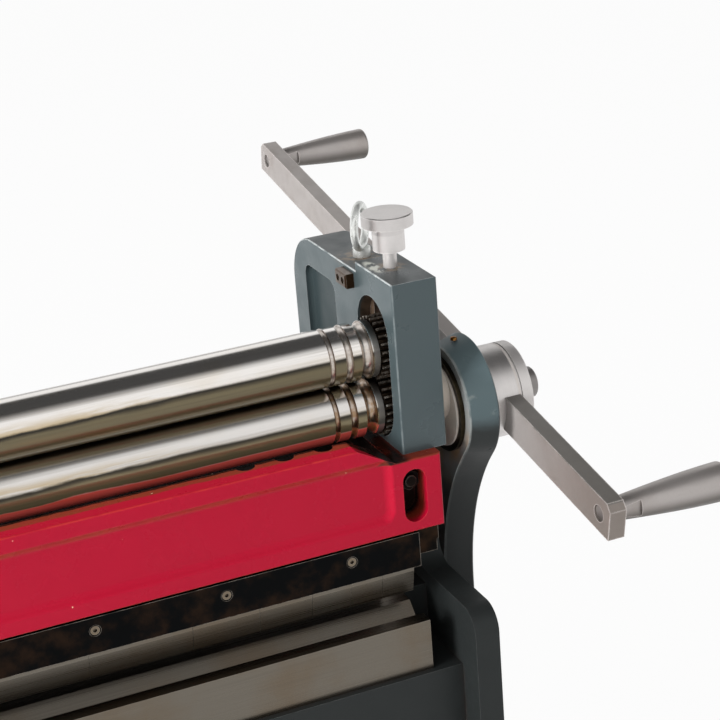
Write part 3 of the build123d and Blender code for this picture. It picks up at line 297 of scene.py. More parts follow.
class Board(Wiring):
    """A material's nodes, with the masks that its finish is built from."""

    def __init__(self, name):
        self.material = bpy.data.materials.new(name)
        self.material.use_nodes = True
        super().__init__(self.material.node_tree)
        self.shader = self.nodes["Principled BSDF"]
        self.coords = self.add("ShaderNodeTexCoord").outputs["Object"]
        self.shine = None

    def ramp(self, value, low, high, start=0.0, end=1.0):
        """A smooth step of a value, from start at low to end at high."""
        sockets = {"Value": value, "From Min": low, "From Max": high, "To Min": start, "To Max": end}
        return self.add("ShaderNodeMapRange", sockets, interpolation_type="SMOOTHSTEP").outputs["Result"]

    def noise(self, scale, detail=3.0, roughness=0.55, stretch=(1.0, 1.0, 1.0)):
        """Noise on the piece's own coordinates, with so many blots to the metre."""
        place = self.vector("MULTIPLY", self.coords, stretch)
        sockets = {"Vector": place, "Scale": scale, "Detail": detail, "Roughness": roughness}
        return self.add("ShaderNodeTexNoise", sockets).outputs["Fac"]

    def blots(self, scale, low, high, start=0.0, end=1.0, **noise):
        """Noise made into soft-edged blots, from start where there is none to end inside one."""
        return self.ramp(self.noise(scale, **noise), low, high, start, end)

    def axis(self, letter):
        """One of the piece's coordinates."""
        return self.parts(self.coords)[letter]

    def across(self):
        """Distance from the machine's middle, to the left or right."""
        return self.math("ABSOLUTE", self.axis("X"))

    def edges(self, width):
        """1 on the outer edges, 0 on the faces and in the corners."""
        rounded = self.add("ShaderNodeBevel", {"Radius": width}, samples=6).outputs["Normal"]
        plain = self.add("ShaderNodeNewGeometry").outputs["Normal"]
        turn = self.vector("DOT_PRODUCT", rounded, plain, "Value")
        edge = self.ramp(turn, 0.995, 0.93)
        return self.product(edge, self.ramp(self.open_sky(width * 6), 0.45, 0.75))

    def open_sky(self, reach, alone=False):
        """1 where nothing is near, 0 in tight corners; alone leaves the other pieces out."""
        sky = self.add("ShaderNodeAmbientOcclusion", {"Distance": reach}, samples=6, only_local=alone)
        return sky.outputs["AO"]

    def way(self, letter):
        """One part of the surface's direction."""
        return self.parts(self.add("ShaderNodeNewGeometry").outputs["Normal"])[letter]

    def normal(self, letter):
        """One part of the surface's direction, without its sign."""
        return self.math("ABSOLUTE", self.way(letter))

    def bump(self, height, strength, distance):
        """Small hills on the surface."""
        sockets = {"Height": height, "Strength": strength, "Distance": distance}
        return self.add("ShaderNodeBump", sockets).outputs["Normal"]

    def radius_from(self, centre, keep):
        """Distance from a place or an axis: keep scales each direction, and is 0 along an axis."""
        flat = self.vector("MULTIPLY", self.vector("SUBTRACT", self.mirrored(), centre), keep)
        return self.vector("LENGTH", flat, output="Value")

    def mirrored(self):
        """The piece's coordinates with both ends of the machine laid on one another."""
        whole = {"X": self.across(), "Y": self.axis("Y"), "Z": self.axis("Z")}
        return self.add("ShaderNodeCombineXYZ", whole).outputs["Vector"]

    def finish(self, **sockets):
        """Sets the shader's sockets and gives the material."""
        for key, value in sockets.items():
            self.put(self.shader.inputs[key.replace("_", " ")], value)
        return self.material


# Finishes

def middle_of(node):
    """The middle of a CAD node's box."""
    low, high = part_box(node)
    return (low + high) / 2


def scaled(tint, factor):
    """A colour made darker or lighter."""
    return tuple(min(1.0, channel * factor) for channel in tint)


def paint(name, tint, gloss, wear=0.7, worn=(0.42, 0.44, 0.45), build=None, shine=0.16, alone=False):
    """Sprayed paint: orange peel, slight clouding, worn edges that are also lightened as a painted
    highlight, and painted shade in the tight corners, dark brown like dried dirt.
    """
    board = Board(name)
    tone = board.mix(board.noise(9.0, 4.0), scaled(tint, 0.93), scaled(tint, 1.06))
    if build is not None:
        tone = build(board, tone)
    speck = board.blots(700.0, 0.73, 0.78, detail=2.0)
    tone = board.mix(board.product(speck, 0.25), tone, scaled(tint, 1.7))
    # Painted shade with dirt: the paint turns dark brown in tight corners, by an ambient-occlusion mask
    # broken into blots.
    corner = board.ramp(board.open_sky(0.012, alone), 0.62, 0.22)
    shade_and_dirt = board.product(corner, board.blots(60.0, 0.25, 0.7, 0.35, 0.85))
    tone = board.mix(shade_and_dirt, tone, hue("dirt_and_shade"))
    # Worn edges, lightened also as a painted highlight: a pale line on the rounded outer edges.
    edge = board.product(board.edges(sizes().wear), board.blots(130.0, 0.3, 0.62, 0.15, wear))
    tone = board.mix(edge, tone, worn)
    rough = board.blots(35.0, 0.3, 0.75, gloss * 0.8, gloss * 1.35, detail=5.0)
    normal = board.bump(board.noise(420.0, 2.0), 0.06, 0.0006)
    shine = shine if board.shine is None else board.shine
    return board.finish(Base_Color=tone, Roughness=rough, Normal=normal, Specular_IOR_Level=shine)


def ram_paint(name):
    """Crimson, browned by oil behind the lip and on the pads, black with oil and painted shade in the
    notches, behind the lip and in the windows, and with painted highlights along the lip's front top.
    """
    low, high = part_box("ram")
    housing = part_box("roll_housing_right")[0]
    slope_top, slope_foot = housing.x - sizes().lip_top_gap, housing.x - sizes().lip_foot_gap
    lip_back, deck = sizes().lip_width, housing.z - sizes().deck_drop
    window_floor = sizes().window_depth

    def oiled(board, tone):
        brown, black = hue("rust_red"), hue("black_oil")
        across = board.across()
        height = board.axis("Z")
        depth = board.math("SUBTRACT", board.axis("Y"), low.y)
        over_deck = board.ramp(height, deck - 0.002, deck - 0.001)
        inside_slope = board.ramp(across, slope_foot + 0.001, slope_foot)
        blur = board.blots(30.0, 0.2, 0.8, -0.0014, 0.0014, detail=6.0)
        start = board.ramp(across, slope_top, slope_foot, 0.0112, -0.001)
        past_start = board.math("SUBTRACT", board.math("ADD", depth, blur), start)
        behind = board.ramp(past_start, -0.0012, 0.0012)
        raised = board.ramp(height, housing.z - 0.002, housing.z - 0.0005)
        oil = board.product(behind, raised, board.blots(120.0, 0.2, 0.6, 0.7, 1.0, detail=5.0))
        lit = board.product(board.ramp(depth, 0.0008, 0.0018),
                            board.ramp(height, high.z - 0.0012, high.z - 0.0006))
        tone = board.mix(lit, tone, scaled(hue("crimson"), 1.4))
        tone = board.mix(oil, tone, brown)
        pads = board.product(oil, board.ramp(across, slope_foot, slope_foot + 0.004))
        tone = board.mix(pads, tone, scaled(brown, 0.5))
        # Oil and painted shade: the lip's end slope under the roll's end is drawn black.
        slope = board.product(board.ramp(across, slope_top - 0.004, slope_top + 0.006),
                              board.ramp(across, housing.x + 0.004, housing.x - 0.004))
        tone = board.mix(board.product(slope, oil), tone, black)
        # Oil and painted shade: black in the notches of the lip and along its back edge, where the gap
        # under the roll is dark.
        notch = board.product(board.ramp(depth, 0.0115, 0.0125), over_deck, inside_slope,
                              board.ramp(height, high.z - 0.0004, high.z - 0.0012))
        tone = board.mix(notch, tone, black)
        rim = board.math("ADD", depth, board.blots(90.0, 0.2, 0.8, -0.0008, 0.0008, detail=4.0))
        hollow = board.product(board.ramp(rim, lip_back - 0.0028, lip_back - 0.0012),
                               board.ramp(depth, 0.1, 0.06), over_deck, inside_slope)
        tone = board.mix(hollow, tone, black)
        # Oil and painted shade: the ram's ends below the seats turn dark brown from the front inwards,
        # and black at the backs of the windows.
        window = board.product(board.ramp(across, slope_foot, slope_foot + 0.001),
                               board.ramp(height, housing.z - 0.004, housing.z - 0.006))
        tone = board.mix(board.product(window, board.ramp(depth, 0.001, 0.011)), tone, scaled(brown, 0.7))
        floor = board.ramp(depth, window_floor * 0.55, window_floor - 0.002)
        tone = board.mix(board.product(window, floor), tone, black)
        # Painted highlight: a thin orange-red line along the lip's front top edge.
        edge = board.product(board.ramp(depth, 0.0014, 0.0008),
                             board.ramp(height, high.z - 0.0014, high.z - 0.0008),
                             board.blots(70.0, 0.3, 0.7, 0.1, 0.45, detail=4.0))
        tone = board.mix(edge, tone, srgb(206, 68, 54))
        hem = board.product(board.ramp(height, low.z + 0.0035, low.z + 0.0008),
                            board.blots(55.0, 0.25, 0.6, 0.45, 0.95, detail=5.0))
        tone = board.mix(hem, tone, scaled(brown, 0.7))
        under = board.ramp(board.way("Z"), -0.12, -0.55)
        dust = board.blots(38.0, 0.3, 0.65, 0.3, 0.7, detail=4.0)
        tone = board.mix(board.product(under, dust), tone, scaled(brown, 1.1))
        # Pale chips in the paint, which also stand for small painted glints.
        chip = board.blots(240.0, 0.795, 0.82, detail=1.0)
        return board.mix(chip, tone, srgb(236, 196, 168))

    return paint(name, hue("crimson"), 0.26, wear=0.4, worn=srgb(214, 92, 84), build=oiled, alone=True)


def rod_paint(name):
    """Slate on the eye with a paler top as painted light, charcoal from the neck down as two-tone paint
    that also stands for the shade on the shank, and bare oily casting on the flat inner face, drawn pale
    as painted light, with a painted highlight along its rim.
    """
    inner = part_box("connecting_rod_right")[0].x
    low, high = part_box("rod_bush_right")
    middle = (low.z + high.z) / 2

    def two_tones(board, tone):
        blur = board.blots(60.0, 0.2, 0.8, -0.003, 0.003, detail=4.0, stretch=(0.3, 1.0, 1.0))
        height = board.math("ADD", board.axis("Z"), blur)
        scuff = board.blots(
            1.0, 0.6, 0.7, 0.0, 0.4, detail=5.0, roughness=0.6, stretch=(70.0, 160.0, 45.0))
        tone = board.mix(scuff, tone, srgb(136, 142, 138))
        # Painted light: the top of the eye is drawn in a much paler slate.
        dust = board.ramp(height, middle + 0.02, middle + 0.04, 0.0, 0.9)
        tone = board.mix(dust, tone, scaled(hue("slate"), 2.2))
        # Two-tone paint that also stands for painted shade: charcoal from about the eye's middle down.
        tone = board.mix(board.ramp(height, middle + 0.004, middle - 0.01), tone, hue("charcoal"))
        across = board.across()
        flat = board.ramp(across, inner + 0.0009, inner + 0.0003)
        stain = board.product(board.blots(38.0, 0.3, 0.65, detail=5.0),
                              board.ramp(height, middle + 0.012, middle - 0.03, 0.15, 1.0))
        # The bare casting is drawn pale, partly as painted light in the housing's shade, and turns
        # charcoal lower down.
        casting = board.mix(stain, srgb(122, 128, 129), srgb(146, 120, 94))
        casting = board.mix(board.ramp(height, middle - 0.045, middle - 0.075), casting, hue("charcoal"))
        tone = board.mix(flat, tone, casting)
        # Painted highlight: a pale line along the rim of the flat inner face.
        corner = board.product(board.ramp(across, inner + 0.0022, inner + 0.0012),
                               board.ramp(across, inner + 0.0002, inner + 0.0006),
                               board.ramp(height, middle - 0.055, middle - 0.02, 0.12, 1.0),
                               board.blots(80.0, 0.3, 0.65, 0.1, 0.8, detail=4.0))
        return board.mix(corner, tone, srgb(150, 154, 152))

    # The rods' slate is drawn 1.3 times paler than the housings': a lit copy of the same paint.
    return paint(name, scaled(hue("slate"), 1.3), 0.34, wear=0.3, build=two_tones, shine=0.2)


def housing_paint(name):
    """Slate paint with darker level tops as painted shade, bright worn edges that are also a painted
    highlight, brown oil with painted shade in the gear holes, darker pockets as painted shade, brown oil
    round the screws, and bare patches beside the adjusting screw."""
    low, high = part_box("roll_housing_right")
    bolt, screw = middle_of("eye_bolt_right"), middle_of("top_knob_right")
    hole_half, hole_top = sizes().hole_half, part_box("top_roll")[1].z + sizes().hole_rise
    pocket_front, step = sizes().pocket_front, high.z - sizes().top_band
    spots = ((bolt, sizes().bolt_stain), (screw, sizes().screw_stain))
    patch = Vector((low.x + sizes().patch_inset, screw.y + sizes().patch_back, high.z))
    patch_shape = (200.0, 62.0, 200.0)

    def oily(board, tone):
        across = board.across()
        # Painted shade: the level faces of the stepped top are drawn in a much darker slate.
        level = board.product(board.ramp(board.normal("Z"), 0.8, 0.95),
                              board.ramp(board.axis("Z"), step, step + 0.0005))
        tone = board.mix(board.product(level, 0.9), tone, scaled(hue("slate"), 0.45))
        for spot, reach in spots:
            centre = Vector((spot.x, spot.y, high.z))
            far = board.radius_from(centre, EVERY_WAY)
            blot = board.product(board.ramp(far, reach, reach * 0.45),
                                 board.blots(170.0, 0.4, 0.6, 0.0, 0.8, detail=5.0))
            tone = board.mix(blot, tone, srgb(130, 110, 86))
        near = board.ramp(board.radius_from(patch, patch_shape), 1.1, 0.6)
        bare = board.product(near, board.blots(150.0, 0.44, 0.5, detail=4.0))
        tone = board.mix(bare, tone, srgb(206, 208, 198))
        # Brown oil with painted shade: the insides of the gear holes are drawn dark brown, darkest in
        # blots.
        beside = board.math("ABSOLUTE", board.axis("Y"))
        hole = board.product(board.ramp(across, low.x + 0.001, low.x + 0.003),
                             board.ramp(across, high.x - 0.001, high.x - 0.002),
                             board.ramp(beside, hole_half, hole_half - 0.001),
                             board.ramp(board.axis("Z"), hole_top, hole_top - 0.001))
        stain = board.mix(board.blots(75.0, 0.3, 0.7, detail=5.0), srgb(46, 38, 31), srgb(98, 82, 68))
        tone = board.mix(hole, tone, stain)
        # Painted shade: the pockets in the inner faces are drawn in a darker slate.
        pocket = board.product(board.ramp(across, low.x + 0.0012, low.x + 0.005),
                               board.ramp(across, low.x + 0.008, low.x + 0.0065),
                               board.ramp(board.axis("Y"), pocket_front, pocket_front + 0.001),
                               board.ramp(board.axis("Z"), step, step - 0.001))
        tone = board.mix(pocket, tone, srgb(56, 66, 68))
        board.shine = board.ramp(pocket, 0.0, 1.0, 0.4, 0.08)
        # Wear and painted highlight: the rounded edges beside the inner and outer faces, most where they
        # turn towards the top or bottom, are drawn near white.
        rim = board.math("MAXIMUM", board.ramp(across, low.x + 0.0018, low.x + 0.0012),
                         board.ramp(across, high.x - 0.0018, high.x - 0.0012))
        lean = board.normal("X")
        worn = board.product(rim, board.ramp(lean, 0.96, 0.85), board.ramp(lean, 0.2, 0.4),
                             board.ramp(board.normal("Z"), 0.2, 0.5, 0.2, 1.0),
                             board.blots(110.0, 0.28, 0.6, 0.15, 0.8, detail=4.0))
        return board.mix(worn, tone, srgb(196, 201, 201))

    return paint(name, hue("slate"), 0.32, wear=0.6, build=oily)


def roll_steel(name, node, clean_from=None, clean_to=None, red_reflection_to=None, rusty=0.3, filmed=1.0,
               gleam=1.0):
    """Polished roll: grinding rings, wiped oil, old oil in the wire grooves, painted shade in its
    crevices, and a film of dried oil on the part of the round between two angles, which are counted
    upwards from the front; the film and its dark upper edge are also a painted reflection of the dim
    room. A painted reflection of the red ram may follow below it."""
    low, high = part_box(node)
    centre = (low + high) / 2
    barrel = (high.y - low.y) / 2
    board = Board(name)
    radius = board.radius_from(centre, AROUND_X)
    tint = scaled(hue("roll"), gleam)
    smear = board.blots(1.0, 0.46, 0.72, 0.0, 0.5, detail=5.0, stretch=(3.0, 240.0, 240.0))
    tone = board.mix(smear, tint, srgb(168, 160, 150))
    stain = board.blots(11.0, 0.58, 0.74, 0.0, 0.3, detail=4.0, stretch=(0.5, 1.0, 1.0))
    tone = board.mix(stain, tone, srgb(206, 178, 128))
    groove = board.ramp(radius, barrel - 0.0002, barrel - 0.0012)
    across = board.across()
    metal = 1.0
    if clean_from is not None:
        parts = board.parts(board.vector("SUBTRACT", board.coords, centre))
        front = board.product(parts["Y"], -1.0)
        turn = board.math("ARCTAN2", parts["Z"], front)
        ragged = board.blots(
            1.0, 0.2, 0.8, -0.11, 0.11, detail=5.0, roughness=0.6, stretch=(9.0, 50.0, 50.0))
        handled = board.ramp(board.axis("X"), sizes().marks_end, sizes().marks_start, 0.25, 1.0)
        turn = board.math("ADD", turn, board.product(ragged, handled))
        # Dried oil that is also a painted reflection: the film lies between two angles from the front,
        # where the rolls show dim reflections.
        film = board.product(board.ramp(turn, clean_from + 0.08, clean_from - 0.04),
                             board.ramp(turn, clean_to - 0.05, clean_to),
                             board.ramp(groove, 0.0, 1.0, 1.0, 0.2))
        # The film's dark upper edge, also a painted reflection of the dark part of the room.
        rim = board.product(film, board.ramp(turn, clean_from - 0.24, clean_from - 0.05))
        streak = board.noise(1.0, 4.0, stretch=(5.0, 420.0, 420.0))
        oil = board.mix(streak, scaled(hue("film"), 0.75 * filmed), scaled(hue("film"), 1.3 * filmed))
        rust = board.blots(1.0, 0.56, 0.78, 0.0, 0.35, detail=5.0, stretch=(9.0, 90.0, 90.0))
        oil = board.mix(rust, oil, srgb(128, 94, 52))
        oil = board.mix(board.product(rim, 0.9), oil, srgb(26, 22, 18))
        near = board.product(board.ramp(turn, clean_from + 0.4, clean_from), handled)
        dried = board.blots(
            1.0, 0.44, 0.6, 0.0, 0.8, detail=5.0, roughness=0.6, stretch=(9.0, 100.0, 100.0))
        tone = board.mix(board.product(near, dried), tone, srgb(190, 166, 122))
        tone = board.mix(film, tone, oil)
        # Painted reflection: the red ram drawn on the roll's round below the film.
        if red_reflection_to is not None:
            red_reflection = board.product(board.ramp(turn, clean_to + 0.02, clean_to - 0.06),
                                  board.ramp(turn, red_reflection_to - 0.2, red_reflection_to))
            tone = board.mix(board.product(red_reflection, 0.95), tone, srgb(216, 72, 62))
            film = board.math("ADD", film, board.product(red_reflection, 2.0))
        metal = board.ramp(film, 0.0, 2.0, 1.0, 0.0)
    old = board.product(groove, board.blots(230.0, 0.32, 0.6, rusty * 0.4, rusty, detail=4.0))
    tone = board.mix(old, tone, hue("straw"))
    mouth = board.product(board.ramp(radius, barrel - 0.00005, barrel - 0.0003),
                          board.ramp(radius, barrel - 0.0016, barrel - 0.0008),
                          board.blots(160.0, 0.35, 0.6, 0.2, 0.75, detail=4.0))
    tone = board.mix(mouth, tone, srgb(96, 64, 36))
    end = board.ramp(across, sizes().end_band, sizes().end_band + 0.001)
    tone = board.mix(board.product(end, 0.85), tone, srgb(112, 108, 104))
    # Painted shade: dark brown in the grooves and tight corners.
    crevice_shade = board.product(board.ramp(board.open_sky(0.006), 0.75, 0.3), 0.7)
    tone = board.mix(crevice_shade, tone, srgb(52, 38, 28))
    rings = board.noise(1.0, 2.0, stretch=(2600.0, 3.0, 3.0))
    rough = board.ramp(rings, 0.25, 0.75, 0.14, 0.2)
    dull = board.math("ADD", board.math("ADD", smear, groove), board.product(end, 1.4))
    rough = board.math("ADD", rough, board.product(dull, 0.12))
    normal = board.bump(rings, 0.02, 0.0001)
    return board.finish(Base_Color=tone, Metallic=metal, Roughness=rough, Normal=normal)


def turned_steel(name, tint, centre, keep, rough=0.36, pitch=2400.0, build=None):
    """Turned steel: fine rings about an axis, a bead-blasted grain, soft stains, painted shade in tight
    corners, and pale edges that are worn and also a painted highlight.
    """
    board = Board(name)
    radius = board.radius_from(centre, keep)
    along = board.vector("DOT_PRODUCT", board.mirrored(), tuple(1.0 - k for k in keep), "Value")
    place = board.add("ShaderNodeCombineXYZ", {"X": board.math("ADD", radius, along)}).outputs["Vector"]
    sockets = {"Vector": place, "Scale": pitch, "Detail": 2.0}
    rings = board.add("ShaderNodeTexNoise", sockets).outputs["Fac"]
    stain = board.blots(55.0, 0.42, 0.75, 0.0, 0.35, detail=5.0)
    tone = board.mix(stain, tint, scaled(tint, 0.7))
    tone = board.mix(board.ramp(rings, 0.4, 0.75, 0.0, 0.18), tone, scaled(tint, 0.6))
    # Painted shade: dark brown in tight corners.
    corner = board.ramp(board.open_sky(0.006), 0.6, 0.2, 0.0, 0.7)
    tone = board.mix(corner, tone, srgb(58, 48, 40))
    grain = board.noise(2600.0, 2.0)
    roughness = board.ramp(board.math("ADD", rings, grain), 0.6, 1.5, rough * 0.75, rough * 1.4)
    normal = board.bump(board.math("ADD", board.product(rings, 0.6), grain), 0.07, 0.0002)
    # Wear and painted highlight: pale, less metallic edges.
    edge = board.edges(sizes().wear)
    tone = board.mix(board.product(edge, 0.5), tone, scaled(tint, 1.35))
    metal = board.ramp(edge, 0.0, 1.0, 1.0, 0.25)
    if build is not None:
        tone, metal = build(board, tone, metal)
    return board.finish(Base_Color=tone, Metallic=metal, Roughness=roughness, Normal=normal)


def hub_steel(name):
    """A crank hub: a painted highlight on the ridge at its seam, a duller end cap, and dried oil on the
    boss.
    """
    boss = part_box("crank_hub_right")[1].x - sizes().boss_length
    seam = boss - sizes().cap_length

    def capped(board, tone, metal):
        across = board.across()
        oily = board.ramp(across, boss, boss + 0.0006, 0.0, 0.8)
        tone = board.mix(oily, tone, srgb(122, 118, 116))
        # Painted highlight: a pale, less metallic line on the ridge beside the seam.
        ridge = board.product(board.ramp(across, seam - 0.0022, seam - 0.0016),
                              board.ramp(across, seam, seam - 0.0004))
        tone = board.mix(board.product(ridge, 0.8), tone, srgb(226, 218, 212))
        cap = board.product(board.ramp(across, seam, seam + 0.0006), 0.45)
        dull = board.ramp(board.math("MAXIMUM", ridge, cap), 0.0, 1.0, 1.0, 0.2)
        return tone, board.math("MINIMUM", metal, dull)

    bright = scaled(hue("satin"), 1.07)
    return turned_steel(name, bright, middle_of("crank_hub_right"), AROUND_X, 0.44, build=capped)


def knob_steel(name):
    """A top roll's knob: clean blasted steel on its sleeve, and a pale dry screw below it."""
    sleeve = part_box("roll_housing_right")[1].z + sizes().screw_bared
    dry_top = sleeve + sizes().sleeve_dry

    def pale(board, tone, metal):
        height = board.axis("Z")
        dry = board.ramp(height, dry_top, dry_top - 0.001, 0.0, 0.3)
        screw = board.ramp(height, sleeve + 0.0006, sleeve, 0.0, 0.22)
        whole = board.math("ADD", dry, screw)
        tone = board.mix(whole, tone, srgb(232, 228, 226))
        return tone, board.product(metal, board.ramp(whole, 0.0, 1.0, 1.0, 0.25))

    return turned_steel(name, hue("satin"), middle_of("top_knob_right"), AROUND_Z, build=pale)


def blasted_steel(name, tint, rough=0.5, metal=0.6, build=None):
    """Blasted steel: a dull grain, faint brown stains, painted shade in tight corners, and bright edges
    that are worn and also a painted highlight.
    """
    board = Board(name)
    grain = board.noise(1900.0, 3.0)
    stain = board.blots(26.0, 0.45, 0.75, 0.0, 0.3, detail=5.0)
    tone = board.mix(stain, tint, srgb(134, 118, 106))
    if build is not None:
        tone = build(board, tone)
    tone = board.mix(board.ramp(grain, 0.5, 0.75, 0.0, 0.25), tone, scaled(tint, 0.55))
    # Painted shade: dark brown in tight corners.
    corner = board.ramp(board.open_sky(0.008), 0.6, 0.2, 0.0, 0.75)
    tone = board.mix(corner, tone, srgb(50, 42, 36))
    # Wear and painted highlight: bright edges.
    edge = board.product(board.edges(sizes().wear * 2), board.blots(120.0, 0.3, 0.6, 0.3, 0.9))
    tone = board.mix(edge, tone, scaled(tint, 1.6))
    roughness = board.blots(70.0, 0.3, 0.7, rough * 0.85, rough * 1.2, detail=4.0)
    normal = board.bump(grain, 0.12, 0.0003)
    return board.finish(
        Base_Color=tone, Metallic=metal, Roughness=roughness, Normal=normal, Specular_IOR_Level=0.2)


def bar_steel(name):
    """A crank bar, darker towards its front end, and with painted shade on the upper edge of its front
    half.
    """
    centre = middle_of("crank_hub_right")
    tilt, half = sizes().bar_tilt, sizes().bar_half

    def oily(board, tone):
        place = board.vector("SUBTRACT", board.mirrored(), centre)
        rise = board.vector("DOT_PRODUCT", place, (0.0, -math.sin(tilt), math.cos(tilt)), "Value")
        end = board.ramp(board.axis("Y"), -0.03, -0.17, 0.0, 0.75)
        tone = board.mix(end, tone, srgb(122, 112, 104))
        # Painted shade: the upper edge of the bar's front half is drawn darker.
        upper = board.ramp(rise, half - 0.0012, half - 0.0006)
        front = board.ramp(board.axis("Y"), 0.06, -0.06, 0.0, 0.8)
        return board.mix(board.product(upper, front), tone, srgb(112, 110, 106))

    return blasted_steel(name, hue("warm"), 0.5, 0.4, oily)


def handle_steel(name, node):
    """A crank handle, drawn darker underneath as painted shade."""
    low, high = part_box(node)
    middle, radius = (low.z + high.z) / 2, (high.z - low.z) / 2

    def oily(board, tone):
        # Painted shade: the handle's lower half is drawn darker.
        height = board.math("SUBTRACT", board.axis("Z"), middle)
        under = board.ramp(height, radius * 0.2, -radius * 0.5, 0.0, 0.85)
        return board.mix(under, tone, srgb(84, 80, 75))

    return blasted_steel(name, scaled(hue("warm"), 0.95), 0.38, 0.7, oily)


def ground_steel(name, tint, stretch, rough=0.3, oil=0.4):
    """Ground tool steel: fine lines along the stroke of the wheel, with a film of old oil."""
    board = Board(name)
    lines = board.noise(1.0, 3.0, stretch=stretch)
    film = board.blots(18.0, 0.4, 0.72, 0.0, oil, detail=5.0)
    tone = board.mix(film, tint, srgb(104, 84, 60))
    tone = board.mix(board.ramp(lines, 0.45, 0.8, 0.0, 0.3), tone, scaled(tint, 0.6))
    # Painted shade: dark brown in tight corners.
    corner = board.ramp(board.open_sky(0.008), 0.6, 0.2, 0.0, 0.75)
    tone = board.mix(corner, tone, srgb(40, 32, 26))
    # Wear and painted highlight: bright edges.
    edge = board.product(board.edges(sizes().wear), board.blots(140.0, 0.35, 0.6, 0.2, 0.9))
    tone = board.mix(edge, tone, scaled(tint, 1.7))
    roughness = board.ramp(lines, 0.25, 0.75, rough * 0.8, rough * 1.3)
    normal = board.bump(lines, 0.05, 0.0002)
    return board.finish(Base_Color=tone, Metallic=1.0, Roughness=roughness, Normal=normal)


def gear_steel(name, node):
    """Oily gear steel, with painted shade between the teeth, and tips that are bright as worn metal and
    as a painted highlight.
    """
    low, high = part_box(node)
    centre = (low + high) / 2
    tip = (high.y - low.y) / 2
    board = Board(name)
    radius = board.radius_from(centre, AROUND_X)
    tint = hue("oiled")
    tone = board.mix(board.blots(260.0, 0.3, 0.7, detail=4.0), scaled(tint, 0.6), scaled(tint, 1.7))
    # Worn metal and painted highlight: bright, glossier blots on the tips of the teeth.
    bright = board.product(
        board.ramp(radius, tip - 0.0012, tip - 0.0003),
        board.blots(420.0, 0.4, 0.58, 0.12, 1.0, detail=3.0))
    tone = board.mix(bright, tone, srgb(222, 214, 202))
    # Painted shade: near black between the teeth.
    crevice_shade = board.ramp(board.open_sky(0.004), 0.75, 0.35)
    tone = board.mix(crevice_shade, tone, srgb(20, 16, 13))
    rough = board.ramp(bright, 0.0, 1.0, 0.42, 0.22)
    normal = board.bump(board.noise(900.0, 3.0), 0.12, 0.0003)
    return board.finish(Base_Color=tone, Metallic=0.9, Roughness=rough, Normal=normal)


def oxide_steel(name, tint, rough=0.42, brown=0.2, bare=None):
    """Blackened steel: brown patches, painted shade in tight corners, edges worn bright that are also a
    painted highlight, and a paler tint on all faces but front and back, which is bare steel and also
    painted light on the top.
    """
    board = Board(name)
    # Bare steel and painted light: every face but the front and back takes the paler tint, which lights
    # the top.
    if bare is not None:
        tint = board.mix(board.ramp(board.normal("Y"), 0.75, 0.5), tint, bare)
    patch = board.blots(48.0, 0.42, 0.7, 0.0, brown, detail=5.0)
    tone = board.mix(patch, tint, srgb(84, 58, 38))
    # Painted shade: near black in tight corners.
    corner = board.ramp(board.open_sky(0.008), 0.6, 0.2, 0.0, 0.7)
    tone = board.mix(corner, tone, srgb(14, 11, 9))
    # Wear and painted highlight: bright edges.
    edge = board.product(board.edges(sizes().wear), board.blots(160.0, 0.3, 0.6, 0.25, 0.95))
    tone = board.mix(edge, tone, srgb(150, 142, 132))
    roughness = board.blots(90.0, 0.3, 0.7, rough * 0.8, rough * 1.25, detail=4.0)
    normal = board.bump(board.noise(1200.0, 3.0), 0.1, 0.0002)
    return board.finish(Base_Color=tone, Metallic=0.95, Roughness=roughness, Normal=normal)


def plated_steel(name, tint, rough=0.3):
    """Bright zinc plate with a soft crystal mottle and dull patches."""
    board = Board(name)
    sockets = {"Vector": board.coords, "Scale": 520.0}
    cells = board.add("ShaderNodeTexVoronoi", sockets).outputs["Distance"]
    tone = board.mix(board.ramp(cells, 0.1, 0.7, 0.0, 0.2), tint, scaled(tint, 0.78))
    stain = board.blots(90.0, 0.54, 0.75, 0.0, 0.35, detail=5.0)
    tone = board.mix(stain, tone, srgb(150, 146, 138))
    # Painted shade: dark brown in tight corners.
    corner = board.ramp(board.open_sky(0.006), 0.6, 0.2, 0.0, 0.75)
    tone = board.mix(corner, tone, srgb(66, 58, 48))
    roughness = board.blots(160.0, 0.3, 0.7, rough * 0.8, rough * 1.6, detail=4.0)
    normal = board.bump(board.noise(520.0, 3.0), 0.16, 0.0004)
    return board.finish(Base_Color=tone, Metallic=0.7, Roughness=roughness, Normal=normal)


def bronze_metal(name, tint, rough=0.36):
    """Bronze or brass with a dark skin of oil."""
    board = Board(name)
    skin = board.blots(140.0, 0.35, 0.7, 0.1, 0.75, detail=5.0)
    tone = board.mix(skin, tint, scaled(tint, 0.32))
    # Painted highlight: paler edges.
    edge = board.product(board.edges(sizes().wear), 0.4)
    tone = board.mix(edge, tone, scaled(tint, 1.3))
    normal = board.bump(board.noise(1400.0, 3.0), 0.08, 0.0002)
    roughness = board.ramp(skin, 0.0, 1.0, rough * 0.8, rough * 1.4)
    return board.finish(Base_Color=tone, Metallic=1.0, Roughness=roughness, Normal=normal)


def both(*names):
    """The left and right nodes of each name."""
    return [f"{name}_{side}" for name in names for side in SIDES]


def give(material, nodes):
    """Puts a material on CAD nodes."""
    for name in nodes:
        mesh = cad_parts[name].data
        mesh.materials.clear()
        mesh.materials.append(material)


# Pieces

def piece(name, shape, body, material):
    """Makes an object of a finished bmesh, and sets the body that it rides on and its finish."""
    bmesh.ops.recalc_face_normals(shape, faces=shape.faces)
    mesh = bpy.data.meshes.new(name)
    shape.to_mesh(mesh)
    shape.free()
    mesh.materials.append(material)
    made = bpy.data.objects.new(name, mesh)
    bpy.context.scene.collection.objects.link(made)
    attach(made, body)


